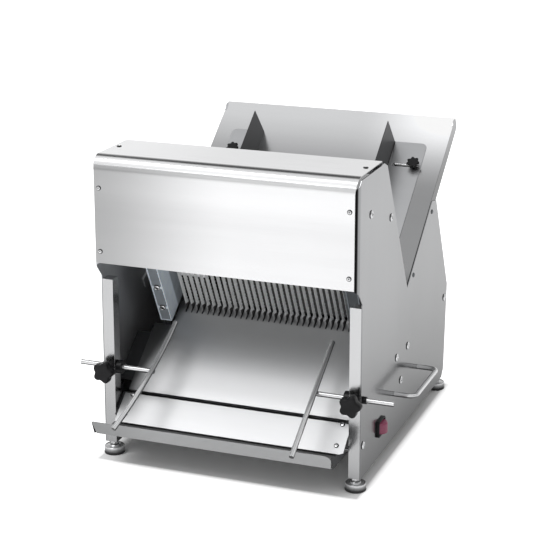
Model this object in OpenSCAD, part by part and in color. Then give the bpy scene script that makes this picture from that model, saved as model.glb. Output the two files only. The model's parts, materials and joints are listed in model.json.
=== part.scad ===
// Counter-top bread slicing machine.
// A loaf slides down the rear chute, through two opposed frames of blades, onto the front plate.
// Millimetres, +Z up, the front faces -Y.

/* [Side panels] */
// Width over the outer faces of the two side panels
body_w = 528; // [500:1:560]
// Sheet thickness of the side panels
panel_t = 2; // [1.5:0.1:3]
// Height of the lower edge of the side panels
panel_low_z = 32; // [28:1:36]
// Front edge of the panels beside the legs
leg_front_y = -296; // [-300:1:-292]
// Height where the front edge starts to lean forward
brow_back_z = 375; // [370:1:380]
// Front edge of the panels beside the hood
brow_front_y = -327; // [-329:1:-325]
// Lower end of the front edge beside the hood
brow_low_z = 411; // [406:1:416]
// Upper end of the front edge beside the hood
brow_top_z = 592; // [586:1:596]
// Height of the top edge of the panels
panel_top_z = 612; // [606:1:614]
// Cut across the upper front corner
brow_cut = 18; // [12:1:24]
// Rear end of the top edge
top_rear_y = -170; // [-176:1:-164]
// Upper end of the front side of the V, along Y
vee_top_y = -152; // [-158:1:-148]
// Upper end of the front side of the V, height
vee_top_z = 604; // [598:1:608]
// Foot of the V, along Y
vee_low_y = -3; // [-6:1:0]
// Foot of the V, height
vee_low_z = 321; // [317:1:324]
// Upper end of the rear side of the V, along Y
wing_top_y = 170; // [164:1:176]
// Upper end of the rear side of the V, height
wing_top_z = 456; // [452:1:460]
// Rear corner of the wing, along Y
wing_back_y = 203; // [198:1:208]
// Rear corner of the wing, height
wing_back_z = 450; // [446:1:454]
// Corner where the rear slope meets the rear edge, along Y
tail_y = 308; // [304:1:312]
// Corner where the rear slope meets the rear edge, height
tail_z = 238; // [230:1:246]
// Lower end of the rear edge, along Y
heel_y = 294; // [292:1:298]
// Lower end of the rear edge, height
heel_z = 48; // [44:1:54]
// Cut across the lower rear corner
heel_cut = 14; // [8:1:18]
// Outer radius of the folded front edge
brow_r = 14; // [8:1:18]
// Width of the folded front strip behind the hood
brow_strip_w = 26; // [20:1:32]

/* [Legs and feet] */
// Width of a leg tube across the machine
leg_w = 22; // [20:1:26]
// Depth of a leg tube along the machine
leg_d = 25; // [22:1:28]
// Wall of a leg tube
leg_wall = 2; // [1.5:0.1:3]
// Height of the top of the front legs
leg_top_z = 368; // [360:1:374]
// Thickness of the plug in the lower end of a leg
plug_t = 14; // [10:1:18]
// Front face of the rear legs
rear_leg_y = 266; // [260:1:267]
// Height of the top of the rear legs
rear_leg_top_z = 222; // [200:1:230]
// Height of the foot soles, which the frame takes as the floor
foot_z = 6; // [4:0.5:8]
// Radius of a foot
foot_r = 22; // [18:0.5:24]
// Thickness of the rubber under a foot
pad_t = 4.5; // [3:0.5:6]
// Height of the rim of a foot
foot_rim_z = 15.5; // [14:0.5:17]
// Height of the shoulder of a foot
foot_shoulder_z = 19; // [18:0.5:20]
// Radius of the foot shoulder
foot_shoulder_r = 9; // [7:0.5:11]
// Radius of the foot stud
stud_r = 5; // [4:0.5:6]
// Radius over the corners of the foot nut
foot_nut_r = 9; // [8:0.5:10]
// Lower face of the foot nut
foot_nut_z = 21; // [20.5:0.5:23]
// Height of the foot nut
foot_nut_h = 6; // [5:0.5:8]
// Height of the top of the foot stud
stud_top_z = 43; // [38:1:45]

/* [Hood] */
// Sheet thickness of the hood
hood_t = 1.5; // [1:0.1:2.5]
// Half of the hood width
hood_half_w = 262; // [258:0.5:264]
// Height of the top of the hood
hood_top_z = 618; // [616:0.5:622]
// Outer radius of the hood bend
hood_r = 18; // [12:1:24]
// Height of the lower edge of the hood
hood_low_z = 410; // [406:1:416]
// Rear edge of the hood top
hood_rear_y = -178; // [-184:1:-172]
// Depth of the fold at the hood rear edge
hood_lip_d = 26; // [16:1:30]
// Depth of the fold at the hood lower edge
hood_hem_d = 12; // [8:1:16]
// Distance of the hood screws from the middle
hood_screw_x = 248; // [244:1:254]
// Heights of the hood front screws
hood_screw_zs = [433, 557]; // [420:1:580]
// Position of the hood top screws along Y
hood_screw_y = -237; // [-260:1:-200]
// Radius of a screw head
screw_r = 4; // [3:0.5:5]
// Height of a screw head
screw_h = 2.2; // [1.5:0.1:3]

/* [Chute] */
// Slope of the loaf path
slide_a = 37.5; // [35:0.5:40]
// Height of the loaf path at the middle of the machine
slide_z = 327; // [325:0.5:329]
// Upper end of the chute along the slope
chute_top_l = 441; // [420:1:460]
// Lower end of the wide part of the chute along the slope
chute_wide_l = -58; // [-62:1:-50]
// Lower end of the chute tongue along the slope
chute_low_l = -94; // [-97:1:-88]
// Sheet thickness of chute and front plate
plate_t = 1.5; // [1:0.1:2]
// Depth of the folded sides of the chute
chute_fold_d = 27; // [20:1:30]
// Radius at the upper corner of the folded sides
chute_fold_r = 16; // [8:1:18]
// Half width of the chute tongue and of the comb
tongue_half_w = 191; // [186:1:192]

/* [Loaf guides] */
// Inner face of the left guide web from the middle
left_guide_x = 152; // [146:1:154]
// Inner face of the right guide web from the middle
right_guide_x = 146; // [144:1:152]
// Width of a guide flange
guide_flange_w = 73; // [66:1:74]
// Upper end of a guide along the slope
guide_top_l = 362; // [350:1:380]
// Lower end of a guide along the slope
guide_low_l = -40; // [-48:1:20]
// Height of the guide web
guide_h = 77; // [60:1:85]
// Lean of the upper edge of the web
guide_lean_l = 8; // [0:1:16]
// Corner radius of a guide flange
guide_corner_r = 12; // [6:1:18]
// Distance of the guide stud from the upper end of the guides
guide_stud_back = 63; // [52:1:72]
// Inner end of the guide slot from the web
guide_slot_in = 13; // [10:1:16]
// Outer end of the guide slot from the web
guide_slot_out = 66; // [64:1:67]
// Position of the guide stud from the middle
guide_stud_x = 204; // [200:1:206]
// Radius of the guide stud
guide_stud_r = 3; // [2.5:0.1:3.5]
// Length of the guide stud above the chute
guide_stud_h = 16; // [12:1:18]
// Radius of a small star knob
small_knob_r = 14; // [11:0.5:16]
// Number of lobes of a small star knob
small_lobes = 7; // [5:1:9]
// Height of a small star knob
small_knob_h = 15; // [12:1:18]

/* [Front plate] */
// Upper edge of the front plate along the slope
comb_rear_l = -101; // [-103:1:-99]
// Front end of the comb slots along the slope
comb_front_l = -127; // [-132:1:-122]
// Lower edge of the front plate along the slope
front_low_l = -322; // [-326:1:-316]
// Half width of the front plate
front_half_w = 231; // [226:1:234]
// Width of a comb slot
comb_slot_w = 3; // [2.4:0.1:4]
// Notch for the rails at the rear corners along the slope
comb_notch_l = -162; // [-166:1:-158]
// Depth of the fold at the lower edge
front_fold_d = 10; // [6:1:14]
// Upper edge of the lower strip along the slope
strip_top_l = -327; // [-330:1:-326]
// Lower edge of the lower strip along the slope
strip_low_l = -392; // [-396:1:-386]
// Half width of the lower strip
strip_half_w = 235; // [230:1:238]
// Distance of the strip screws from the middle
strip_screw_x = 218; // [214:1:228]
// Positions of the strip screws along the slope
strip_screw_ls = [-379, -333]; // [-390:1:-332]
// Thickness of the strip brackets
strip_bracket_t = 4; // [3:0.5:5]
// Lower end of the strip brackets along the slope
strip_bracket_low_l = -380; // [-382:1:-376]

/* [Blades and rails] */
// Lean of the blades from upright
blade_tilt = 27.5; // [26:0.5:29]
// Where the blades cross the loaf path along the slope
cut_l = -112; // [-114:0.5:-110]
// Number of blades
blade_count = 30; // [20:2:30]
// Distance between blades
blade_pitch = 12; // [10:0.5:12]
// Width of a blade
blade_w = 13; // [10:0.5:14]
// Thickness of a blade
blade_t = 0.6; // [0.4:0.1:1]
// Inner face of the rails from the middle
rail_x = 195; // [194:0.5:196]
// Width of a rail across the machine
rail_w = 25; // [23:1:26]
// Half depth of a rail
rail_half_d = 41; // [40:0.5:42]
// Wall of a rail
rail_wall = 2; // [1.5:0.1:2]
// Web of a rail
rail_web = 3; // [2:0.1:4]
// Length of a rail above the loaf path
rail_top_s = 255; // [240:1:258]
// Gap between the rails and the loaf path
rail_gap = 1; // [0.5:0.1:2]
// Half width of the rib between the two frames
rib_half_w = 14; // [13:0.5:14]
// Positions of the rail bolts along the rail
rail_bolt_ss = [30, 86]; // [15:1:100]
// Side of the square tubes of the blade frames
frame_tube = 24; // [22:0.5:24]
// Wall of the blade frame tubes
frame_wall = 2; // [1.5:0.1:3]
// Inner face of the frame posts from the middle
post_x = 201; // [200:0.5:203]
// Width of a frame post
post_w = 12; // [10:0.5:13]
// Upper face of the lower frame bars
bar_low_s = -50; // [-54:1:-48]
// Lower face of the upper frame bars
bar_top_s = 290; // [286:1:294]
// Distance of the frame bars from the blade plane
bar_gap = 14.5; // [14.5:0.1:16]
// Thickness of a blade hanger
hanger_t = 4; // [3:0.5:5]
// Length of a blade hanger
hanger_h = 12; // [10:1:16]
// Stroke of the blade frames each way
throw_r = 20; // [16:1:20]

/* [Drive] */
// Distance of the frame pins below the lower bars
pin_drop = 16; // [14:1:18]
// Radius of the frame pins
pin_r = 6; // [5:0.5:7]
// Thickness of the lug that carries the frame pin
lug_t = 8; // [6:1:10]
// Inner face of the connecting rods from the middle
rod_x = 113.4; // [113:0.1:114]
// Thickness of a connecting rod
rod_t = 14; // [10:0.5:14]
// Width of a connecting rod shank
rod_shank_w = 14; // [10:1:18]
// Radius of the connecting rod eyes
rod_eye_r = 13; // [11:0.5:14]
// Drop from the frame pins to the crank shaft
crank_drop = 82; // [78:1:86]
// Radius of the crank shaft
shaft_r = 10; // [8:0.5:12]
// Inner face of the crank discs from the middle
disc_x = 100; // [96:1:100]
// Thickness of a crank disc
disc_t = 12; // [8:1:12]
// Radius of a crank disc
disc_r = 30; // [28:1:32]
// Inner face of the bearings from the middle
bearing_x = 64; // [60:1:68]
// Width of a bearing
bearing_w = 12; // [10:1:14]
// Outer radius of a bearing
bearing_r = 21; // [19:0.5:23]
// Outer radius of the bearing stand head
stand_r = 31; // [28:1:34]
// Half width of the foot of a bearing stand
stand_foot_half = 38; // [34:1:42]
// Length of the foot of a bearing stand
stand_foot_w = 30; // [20:1:36]
// Thickness of the foot of a bearing stand
stand_foot_t = 6; // [4:0.5:8]
// Radius of the crank pulley
pulley_r = 45; // [40:1:48]
// Radius of the motor pulley
motor_pulley_r = 18; // [17:1:22]
// Width of the pulleys
pulley_w = 16; // [14:1:20]
// Width of the pulley groove
groove_w = 9; // [8:0.5:10]
// Depth of the pulley groove
groove_d = 8; // [6:0.5:9]
// Width of the drive belt
belt_w = 8; // [6:0.5:8.4]
// Thickness of the drive belt
belt_t = 6; // [4:0.5:7]
// Motor axis along Y
motor_y = 160; // [150:1:170]
// Motor axis height
motor_z = 108; // [104:1:112]
// Radius of the motor
motor_r = 60; // [55:1:62]
// Length of the motor
motor_l = 160; // [140:5:180]
// Gap between the motor and the middle of the machine
motor_gap = 30; // [24:1:36]
// Radius of the motor shaft
motor_shaft_r = 7; // [6:0.5:8]
// Half width of the motor feet
motor_foot_half = 58; // [50:1:64]
// Thickness of the motor feet
motor_foot_t = 6; // [4:1:8]
// Length of the motor feet
motor_foot_l = 90; // [70:1:110]
// Size of the motor terminal box
terminal_box = [70, 56, 34]; // [30:1:90]

/* [Base and rear] */
// Underside of the base pan
pan_z = 36; // [34:0.5:38]
// Thickness of the base pan
pan_t = 3; // [2:0.5:4]
// Front edge of the base pan
pan_front_y = -50; // [-56:1:-46]
// Height of the folded sides of the base pan
pan_fold_h = 26; // [20:1:30]
// Sheet thickness of the rear cover
cover_t = 1.5; // [1:0.1:2]
// Number of vent slots in the rear cover
vent_count = 7; // [4:1:9]
// Distance between vent slots
vent_pitch = 14; // [12:1:16]
// Length of a vent slot
vent_l = 150; // [100:5:200]
// Width of a vent slot
vent_w = 5; // [4:0.5:7]
// Height of the lowest vent slot
vent_z = 100; // [90:1:110]
// Distance of the cable gland from the middle
gland_x = 180; // [150:1:200]
// Height of the cable gland
gland_z = 72; // [66:1:80]
// Radius of the cable gland
gland_r = 11; // [9:0.5:13]

/* [Crumb tray] */
// Half width of the tray floor
tray_half_w = 231; // [226:0.5:231]
// Half width of the front lip
lip_half_w = 243; // [236:0.5:246]
// Narrowing of the front lip towards its foot
lip_taper = 5; // [2:0.5:8]
// Sideways position of the tray
tray_x = -8; // [-8:0.5:0]
// Front edge of the tray floor
tray_front_y = -369; // [-374:1:-364]
// Rear edge of the tray floor
tray_rear_y = -68; // [-72:1:-66]
// Underside of the tray floor
tray_z = 79.3; // [79.2:0.1:79.6]
// Sheet thickness of the tray
tray_t = 1.2; // [0.8:0.1:1.6]
// Height of the front lip along its slope
lip_h = 30; // [27:0.5:30]
// Forward lean of the front lip
lip_lean = 22; // [15:1:28]
// Radius of the right corner of the front lip
lip_right_r = 15; // [8:1:18]
// Radius of the left corner of the front lip
lip_left_r = 4; // [2:0.5:10]
// Height of the tray side edges
tray_edge_h = 4; // [3:0.5:4.5]
// Height of the tray rear edge
tray_back_h = 13; // [10:1:14]
// Upper face of the tray runners
runner_z = 79; // [78.5:0.1:79]
// Thickness of the tray runners
runner_t = 2.5; // [2:0.5:3]
// Inner edge of the tray runners from the middle
runner_x = 212; // [205:1:216]
// Height of the runner wall on the panel
runner_h = 22; // [16:1:26]

/* [Discharge guides] */
// Height of the guide bars
bar_z = 187; // [184:1:190]
// Radius of the guide bars and rods
bar_r = 5; // [4:0.5:5]
// Inner end of the left bar from the middle
left_bar_in = 162; // [155:1:175]
// Inner end of the right bar from the middle
right_bar_in = 171; // [160:1:180]
// Length of the left bar
left_bar_l = 157; // [150:1:162]
// Length of the right bar
right_bar_l = 153; // [148:1:153]
// Radius of the bow in the left rod
rod_bow_r = 1100; // [800:50:3000]
// Slope of the rods
rod_slope = 32.5; // [30:0.5:33]
// Skew of the left rod
left_rod_skew = 5.5; // [0:0.5:8]
// Length of a rod above its bar
rod_up_l = 118; // [105:1:122]
// Length of a rod below its bar
rod_low_l = 152; // [140:1:154]
// Radius of a guide bush
bush_r = 7; // [6.5:0.5:8]
// Radius of the bush collar inside the leg
collar_r = 13; // [11:0.5:14]
// Length of the bush collar
collar_l = 12; // [8:1:14]
// Length of the bush outside the panel
bush_out_l = 7; // [4:1:10]
// Radius of a large star knob
knob_r = 22; // [18:0.5:24]
// Number of lobes of a large star knob
knob_lobes = 5; // [4:1:8]
// Radius of the lobes of a large star knob
lobe_r = 6.5; // [5:0.5:8]
// Thickness of the head of a large star knob
knob_h = 19; // [15:1:22]
// Length of the knob neck
neck_l = 15; // [10:1:18]
// Radius of the knob neck
neck_r = 10; // [8:0.5:12]
// Radius of the knob stud
clamp_r = 4; // [3:0.5:5]

/* [Handles and switch] */
// Distance of the handle grip from the panel
handle_out = 42; // [38:1:58]
// Distance between the ends of a handle
handle_span = 164; // [150:1:180]
// Middle of a handle along Y
handle_y = 3; // [-6:1:12]
// Height of a handle
handle_z = 124; // [118:1:130]
// Radius of the handle bar
handle_r = 5; // [4:0.5:6]
// Bend radius of the handle
handle_bend = 18; // [12:1:24]
// Radius of the handle feet
handle_foot_r = 11; // [8:0.5:13]
// Thickness of the handle feet
handle_foot_t = 3; // [2:0.5:5]
// Middle of the switch along Y
switch_y = -174; // [-182:1:-166]
// Middle of the switch height
switch_z = 92; // [86:1:98]
// Width of the switch bezel
bezel_w = 42; // [36:1:46]
// Height of the switch bezel
bezel_h = 33; // [28:1:36]
// Thickness of the switch bezel
bezel_t = 5; // [3:0.5:7]
// Width of the rocker
rocker_w = 30; // [24:1:32]
// Height of the rocker
rocker_h = 23; // [18:1:25]
// Depth of the switch body behind the panel
switch_d = 20; // [16:1:22]
// Radius of the rocker crown
rocker_r = 21; // [18:1:26]

/* [Fasteners] */
// Radius of the panel bolt heads
bolt_r = 6; // [4:0.5:7]
// Height of the panel bolt heads
bolt_h = 3.5; // [2.5:0.5:5]
// Radius of the panel bolt shanks
shank_r = 2.6; // [2:0.1:3]
// Positions of the panel bolts, Y then Z
bolt_spots = [[-251, 535], [-124, 497], [285, 213], [7, 196],
    [-70, 197], [-38, 139], [-283, 97]]; // [-290:1:540]
// Positions of the small chute screws, Y then Z
chute_screw_spots = [[169, 434], [40, 335]]; // [30:1:450]

/* [Running gaps] */
// Radial clearance of running fits
run_gap = 0.05; // [0.02:0.01:0.1]
// Clearance between loose pieces
gap = 0.4; // [0.3:0.05:0.6]
// Overrun of cuts past a face
over = 1; // [0.5:0.5:2]
// Shift of the machine along Y that centres its outline
frame_y = 29.673; // [20:0.001:45]

/* [Hidden] */
$fn = 64;
steel = [0.78, 0.79, 0.8];
bright = [0.86, 0.87, 0.88];
blade_steel = [0.62, 0.63, 0.65];
nylon = [0.72, 0.76, 0.82];
black = [0.06, 0.06, 0.06];
red = [0.75, 0.08, 0.1];
cast = [0.35, 0.37, 0.4];
rubber = [0.1, 0.1, 0.1];
half_w = body_w / 2;
inner_x = half_w - panel_t;
leg_in_x = inner_x - leg_w;
leg_mid_x = inner_x - leg_w / 2;
leg_mid_y = leg_front_y + leg_d / 2;
rear_leg_mid_y = rear_leg_y + leg_d / 2;
cut_y = cut_l * cos(slide_a);
cut_z = slide_z + cut_l * sin(slide_a);
post_out_x = post_x + post_w;
pin_s = bar_low_s - frame_tube - pin_drop;
bar_mid_n = bar_gap + frame_tube / 2;
crank_s = pin_s - crank_drop;
crank_y = cut_y - crank_s * sin(blade_tilt);
crank_z = cut_z + crank_s * cos(blade_tilt);
rod_dn = bar_mid_n - throw_r;
rod_len = sqrt(crank_drop * crank_drop + rod_dn * rod_dn);
rod_lean = atan2(rod_dn, crank_drop);
pan_top = pan_z + pan_t;
outer_lug_x = rod_x + rod_t + gap;
guide_slot_l = guide_top_l - guide_stud_back;
hood_front_y = brow_front_y - hood_t;
belt_d = sqrt((motor_y - crank_y) * (motor_y - crank_y) + (motor_z - crank_z) * (motor_z - crank_z));
belt_lean = atan2(motor_z - crank_z, motor_y - crank_y);
belt_big_r = pulley_r - groove_d + gap;
belt_small_r = motor_pulley_r - groove_d + gap;
belt_tilt = asin((pulley_r - motor_pulley_r) / belt_d);
full_turn = 360;
arc_steps = 40;
degrees = 180 / PI;
half_turn = 180;
third_share = 1 / 3;
dome_share = 0.55;
lobe_share = 0.25;

// Places the machine in the shared frame
module placed() {
    translate([0, frame_y, -foot_z]) children();
}

// Mirrors a right-hand piece to the left
module on_left() {
    mirror([1, 0, 0]) children();
}

// Copies a right-hand piece to both sides
module both_sides() {
    children();
    mirror([1, 0, 0]) children();
}

// Turns an outline in Y and Z into a slab of width w from x
module slab(x, w) {
    translate([x, 0, 0]) rotate([90, 0, 90]) linear_extrude(w) children();
}

// Local frame of the loaf path, y up the slope, z off the surface
module on_slide() {
    translate([0, 0, slide_z]) rotate([slide_a, 0, 0]) children();
}

// Local frame of the blades, y towards the loaf, z up the blades
module on_blades() {
    translate([0, cut_y, cut_z]) rotate([blade_tilt, 0, 0]) children();
}

// Box between two corners
module span(a, b) {
    translate(a) cube([b[0] - a[0], b[1] - a[1], b[2] - a[2]]);
}

// Round bar along X from x over a length
module bar_x(x, y, z, r, l) {
    translate([x, y, z]) rotate([0, 90, 0]) cylinder(h = l, r = r);
}

// Pan head of a screw along +Z with a short shank below
module screw_head(r, h, shank, depth) {
    cylinder(h = h * third_share, r = r);
    translate([0, 0, h * third_share]) cylinder(h = h * (1 - third_share), r1 = r, r2 = r * dome_share);
    if (depth > 0)
        translate([0, 0, -depth]) cylinder(h = depth, r = shank);
}

// Outline of a side panel in Y and Z
module panel_outline() {
    polygon([[leg_front_y, panel_low_z], [leg_front_y, brow_back_z], [brow_front_y, brow_low_z],
        [brow_front_y, brow_top_z], [brow_front_y + brow_cut, panel_top_z], [top_rear_y, panel_top_z],
        [vee_top_y, vee_top_z], [vee_low_y, vee_low_z], [wing_top_y, wing_top_z],
            [wing_back_y, wing_back_z],
        [tail_y, tail_z], [heel_y, heel_z], [heel_y - heel_cut, panel_low_z]]);
}

// Plan of a side panel with its folded front edge
module panel_plan() {
    bend_y = brow_front_y + brow_r;
    bend_x = half_w - brow_r;
    translate([inner_x, bend_y]) square([panel_t, tail_y - bend_y]);
    translate([half_w - brow_strip_w, brow_front_y]) square([brow_strip_w - brow_r, panel_t]);
    intersection() {
        difference() {
            translate([bend_x, bend_y]) circle(brow_r);
            translate([bend_x, bend_y]) circle(brow_r - panel_t);
        }
        translate([bend_x, brow_front_y]) square([brow_r, brow_r]);
    }
}

// Folded sheet of one side with its holes
module panel_sheet(with_switch) {
    difference() {
        intersection() {
            translate([0, 0, panel_low_z]) linear_extrude(panel_top_z - panel_low_z) panel_plan();
            slab(half_w - brow_strip_w - over, brow_strip_w + over + over) panel_outline();
        }
        bar_x(inner_x - over, leg_mid_y, bar_z, bush_r + gap, panel_t + over + over);
        for (p = bolt_spots)
            bar_x(inner_x - over, p[0], p[1], shank_r + gap, panel_t + over + over);
        for (p = chute_screw_spots)
            bar_x(inner_x - over, p[0], p[1], shank_r + gap, panel_t + over + over);
        if (with_switch)
            span([inner_x - over, switch_y - rocker_w / 2 - gap, switch_z - rocker_h / 2 - gap],
                [half_w + over, switch_y + rocker_w / 2 + gap, switch_z + rocker_h / 2 + gap]);
    }
}

module left_panel() {
    color(steel) placed() on_left() panel_sheet(false);
}

module right_panel() {
    color(steel) placed() panel_sheet(true);
}

// Square tube leg with a plug for the foot stud
module leg(y, top_z, clamped) {
    difference() {
        span([leg_in_x, y, panel_low_z], [inner_x, y + leg_d, top_z]);
        span([leg_in_x + leg_wall, y + leg_wall, panel_low_z + plug_t],
            [inner_x - leg_wall, y + leg_d - leg_wall, top_z - leg_wall]);
        translate([leg_mid_x, y + leg_d / 2, panel_low_z - over])
            cylinder(h = plug_t + over + over, r = stud_r + run_gap);
        if (clamped) {
            bar_x(leg_in_x - over, y + leg_d / 2, bar_z, bush_r + run_gap, leg_w + over + over);
            translate([leg_mid_x, y - over, bar_z]) rotate([-90, 0, 0])
                cylinder(h = leg_wall + over + over, r = clamp_r + run_gap);
        }
    }
}

module left_front_leg() {
    color(bright) placed() on_left() leg(leg_front_y, leg_top_z, true);
}

module right_front_leg() {
    color(bright) placed() leg(leg_front_y, leg_top_z, true);
}

module left_rear_leg() {
    color(bright) placed() on_left() leg(rear_leg_y, rear_leg_top_z, false);
}

module right_rear_leg() {
    color(bright) placed() leg(rear_leg_y, rear_leg_top_z, false);
}

// Levelling foot with rubber, rim, nut and stud
module foot(x, y) {
    color(bright) placed() translate([x, y, 0]) {
        rotate_extrude() polygon([[0, foot_z], [foot_r - over, foot_z], [foot_r, foot_z + over],
            [foot_r, foot_z + pad_t], [foot_r, foot_rim_z], [foot_shoulder_r, foot_shoulder_z],
            [stud_r, foot_shoulder_z], [stud_r, stud_top_z], [0, stud_top_z]]);
        difference() {
            translate([0, 0, foot_nut_z]) cylinder(h = foot_nut_h, r = foot_nut_r, $fn = 6);
            translate([0, 0, foot_nut_z - over])
                cylinder(h = foot_nut_h + over + over, r = stud_r - over);
        }
    }
}

module foot_front_left() {
    foot(-leg_mid_x, leg_mid_y);
}

module foot_front_right() {
    foot(leg_mid_x, leg_mid_y);
}

module foot_rear_left() {
    foot(-leg_mid_x, rear_leg_mid_y);
}

module foot_rear_right() {
    foot(leg_mid_x, rear_leg_mid_y);
}

// Side view of the bent hood sheet
module hood_profile() {
    bend_y = hood_front_y + hood_r;
    bend_z = hood_top_z - hood_r;
    translate([hood_front_y, hood_low_z]) square([hood_t, bend_z - hood_low_z]);
    translate([hood_front_y, hood_low_z]) square([hood_hem_d, hood_t]);
    translate([bend_y, hood_top_z - hood_t]) square([hood_rear_y - bend_y, hood_t]);
    translate([hood_rear_y - hood_t, hood_top_z - hood_lip_d]) square([hood_t, hood_lip_d]);
    intersection() {
        difference() {
            translate([bend_y, bend_z]) circle(hood_r);
            translate([bend_y, bend_z]) circle(hood_r - hood_t);
        }
        translate([hood_front_y, bend_z]) square([hood_r, hood_r]);
    }
}

module hood() {
    color(bright) placed() difference() {
        slab(-hood_half_w, hood_half_w + hood_half_w) hood_profile();
        both_sides() {
            span([inner_x - over, brow_front_y - over / 2, hood_low_z - over],
                [half_w, hood_rear_y + over, hood_top_z - hood_t - gap]);
            span([half_w - brow_strip_w - gap, brow_front_y, hood_low_z - over],
                [half_w, brow_front_y + hood_hem_d, hood_low_z + hood_t + over]);
        }
    }
}

module hood_screws() {
    color(bright) placed() both_sides() {
        for (z = hood_screw_zs)
            translate([hood_screw_x, hood_front_y, z]) rotate([90, 0, 0])
                screw_head(screw_r, screw_h, shank_r, 0);
        translate([hood_screw_x, hood_screw_y, hood_top_z]) screw_head(screw_r, screw_h, shank_r, 0);
    }
}

module panel_bolts() {
    color(bright) placed() both_sides()
        for (p = bolt_spots)
            translate([half_w, p[0], p[1]]) rotate([0, 90, 0])
                screw_head(bolt_r, bolt_h, shank_r, panel_t);
}

module chute_screws() {
    color(blade_steel) placed() both_sides()
        for (p = chute_screw_spots)
            translate([half_w, p[0], p[1]]) rotate([0, 90, 0])
                screw_head(screw_r, screw_h, shank_r, panel_t);
}

// Folded side of the chute, y along the slope
module chute_fold() {
    fold_l = chute_top_l - chute_wide_l;
    translate([chute_wide_l, -chute_fold_d]) square([fold_l - chute_fold_r, chute_fold_d]);
    translate([chute_wide_l, chute_fold_r - chute_fold_d])
        square([fold_l, chute_fold_d - chute_fold_r]);
    translate([chute_top_l - chute_fold_r, chute_fold_r - chute_fold_d]) circle(chute_fold_r);
}

module chute_plate() {
    color(steel) placed() on_slide() {
        span([-inner_x, chute_wide_l, -plate_t], [inner_x, chute_top_l, 0]);
        span([-tongue_half_w, chute_low_l, -plate_t], [tongue_half_w, chute_wide_l, 0]);
        slab(inner_x - plate_t, plate_t) chute_fold();
        slab(-inner_x, plate_t) chute_fold();
    }
}

module discharge_plate() {
    comb_x = -blade_pitch * (blade_count - 1) / 2;
    color(steel) placed() on_slide() difference() {
        union() {
            span([-front_half_w, front_low_l, -plate_t], [front_half_w, comb_rear_l, 0]);
            span([-front_half_w, front_low_l, -front_fold_d], [front_half_w, front_low_l + plate_t, 0]);
        }
        for (i = [0 : blade_count - 1])
            translate([comb_x + i * blade_pitch + blade_t / 2, 0, 0])
                span([-comb_slot_w / 2, comb_front_l, -plate_t - over],
                    [comb_slot_w / 2, comb_rear_l + over, over]);
        both_sides()
            span([tongue_half_w, comb_notch_l, -plate_t - over],
                [front_half_w + over, comb_rear_l + over, over]);
    }
}

// Angles on the panels that carry the front plate
module plate_supports() {
    low_l = front_low_l + runner_h;
    top_l = comb_notch_l - runner_h;
    color(steel) placed() on_slide() both_sides() {
        span([front_half_w - runner_h, low_l, -plate_t - runner_t], [inner_x, top_l, -plate_t]);
        span([inner_x - runner_t, low_l, -runner_h], [inner_x, top_l, -plate_t]);
    }
}

module lower_strip() {
    color(bright) placed() on_slide()
        span([-strip_half_w, strip_low_l, -plate_t], [strip_half_w, strip_top_l, 0]);
}

module strip_screws() {
    color(bright) placed() on_slide() both_sides()
        for (l = strip_screw_ls)
            translate([strip_screw_x, l, 0]) screw_head(screw_r, screw_h, shank_r, 0);
}

module strip_brackets() {
    color(steel) placed() on_slide() both_sides()
        span([strip_screw_x - runner_h / 2, strip_bracket_low_l, -plate_t - strip_bracket_t],
            [leg_in_x, strip_top_l, -plate_t]);
}

// Guide channel for the posts of both blade frames
module rail() {
    difference() {
        on_blades() {
            span([rail_x, -rail_half_d, bar_low_s], [rail_x + rail_web, rail_half_d, rail_top_s]);
            span([rail_x + rail_web, -rail_half_d, bar_low_s],
                [rail_x + rail_w, rail_wall - rail_half_d, rail_top_s]);
            span([rail_x + rail_web, rail_half_d - rail_wall, bar_low_s],
                [rail_x + rail_w, rail_half_d, rail_top_s]);
            span([rail_x + rail_web, -rib_half_w, bar_low_s], [post_out_x, rib_half_w, rail_top_s]);
        }
        on_slide() span([rail_x - over, comb_notch_l, bar_low_s + bar_low_s],
            [rail_x + rail_w + over, 0, rail_gap]);
    }
}

module left_rail() {
    color(nylon) placed() on_left() rail();
}

module right_rail() {
    color(nylon) placed() rail();
}

// Angles that hold the rails to the panels
module rail_brackets() {
    upper_s = rail_top_s - rail_half_d;
    lower_s = rail_half_d;
    color(steel) placed() on_blades() both_sides() {
        span([rail_x + rail_web, -rail_half_d - rail_web, upper_s - runner_h],
            [inner_x, -rail_half_d, upper_s]);
        span([inner_x - rail_web, -rail_half_d, upper_s - runner_h], [inner_x, 0, upper_s]);
        span([rail_x + rail_web, rail_half_d, lower_s],
            [inner_x, rail_half_d + rail_web, lower_s + runner_h]);
        span([inner_x - rail_web, 0, lower_s], [inner_x, rail_half_d, lower_s + runner_h]);
    }
}

module rail_bolts() {
    color(bright) placed() on_blades() both_sides()
        for (s = rail_bolt_ss)
            translate([rail_x + rail_w / 2, -rail_half_d, s]) rotate([90, 0, 0])
                screw_head(bolt_r - over, bolt_h, shank_r, 0);
}

// Square tube across the machine in the blade frame
module frame_bar(n, s) {
    difference() {
        span([-post_out_x, n, s], [post_out_x, n + frame_tube, s + frame_tube]);
        span([-post_out_x - over, n + frame_wall, s + frame_wall],
            [post_out_x + over, n + frame_tube - frame_wall, s + frame_tube - frame_wall]);
    }
}

// Position of a blade across the machine
function blade_x(i) = (i - (blade_count - 1) / 2) * blade_pitch;

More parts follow.
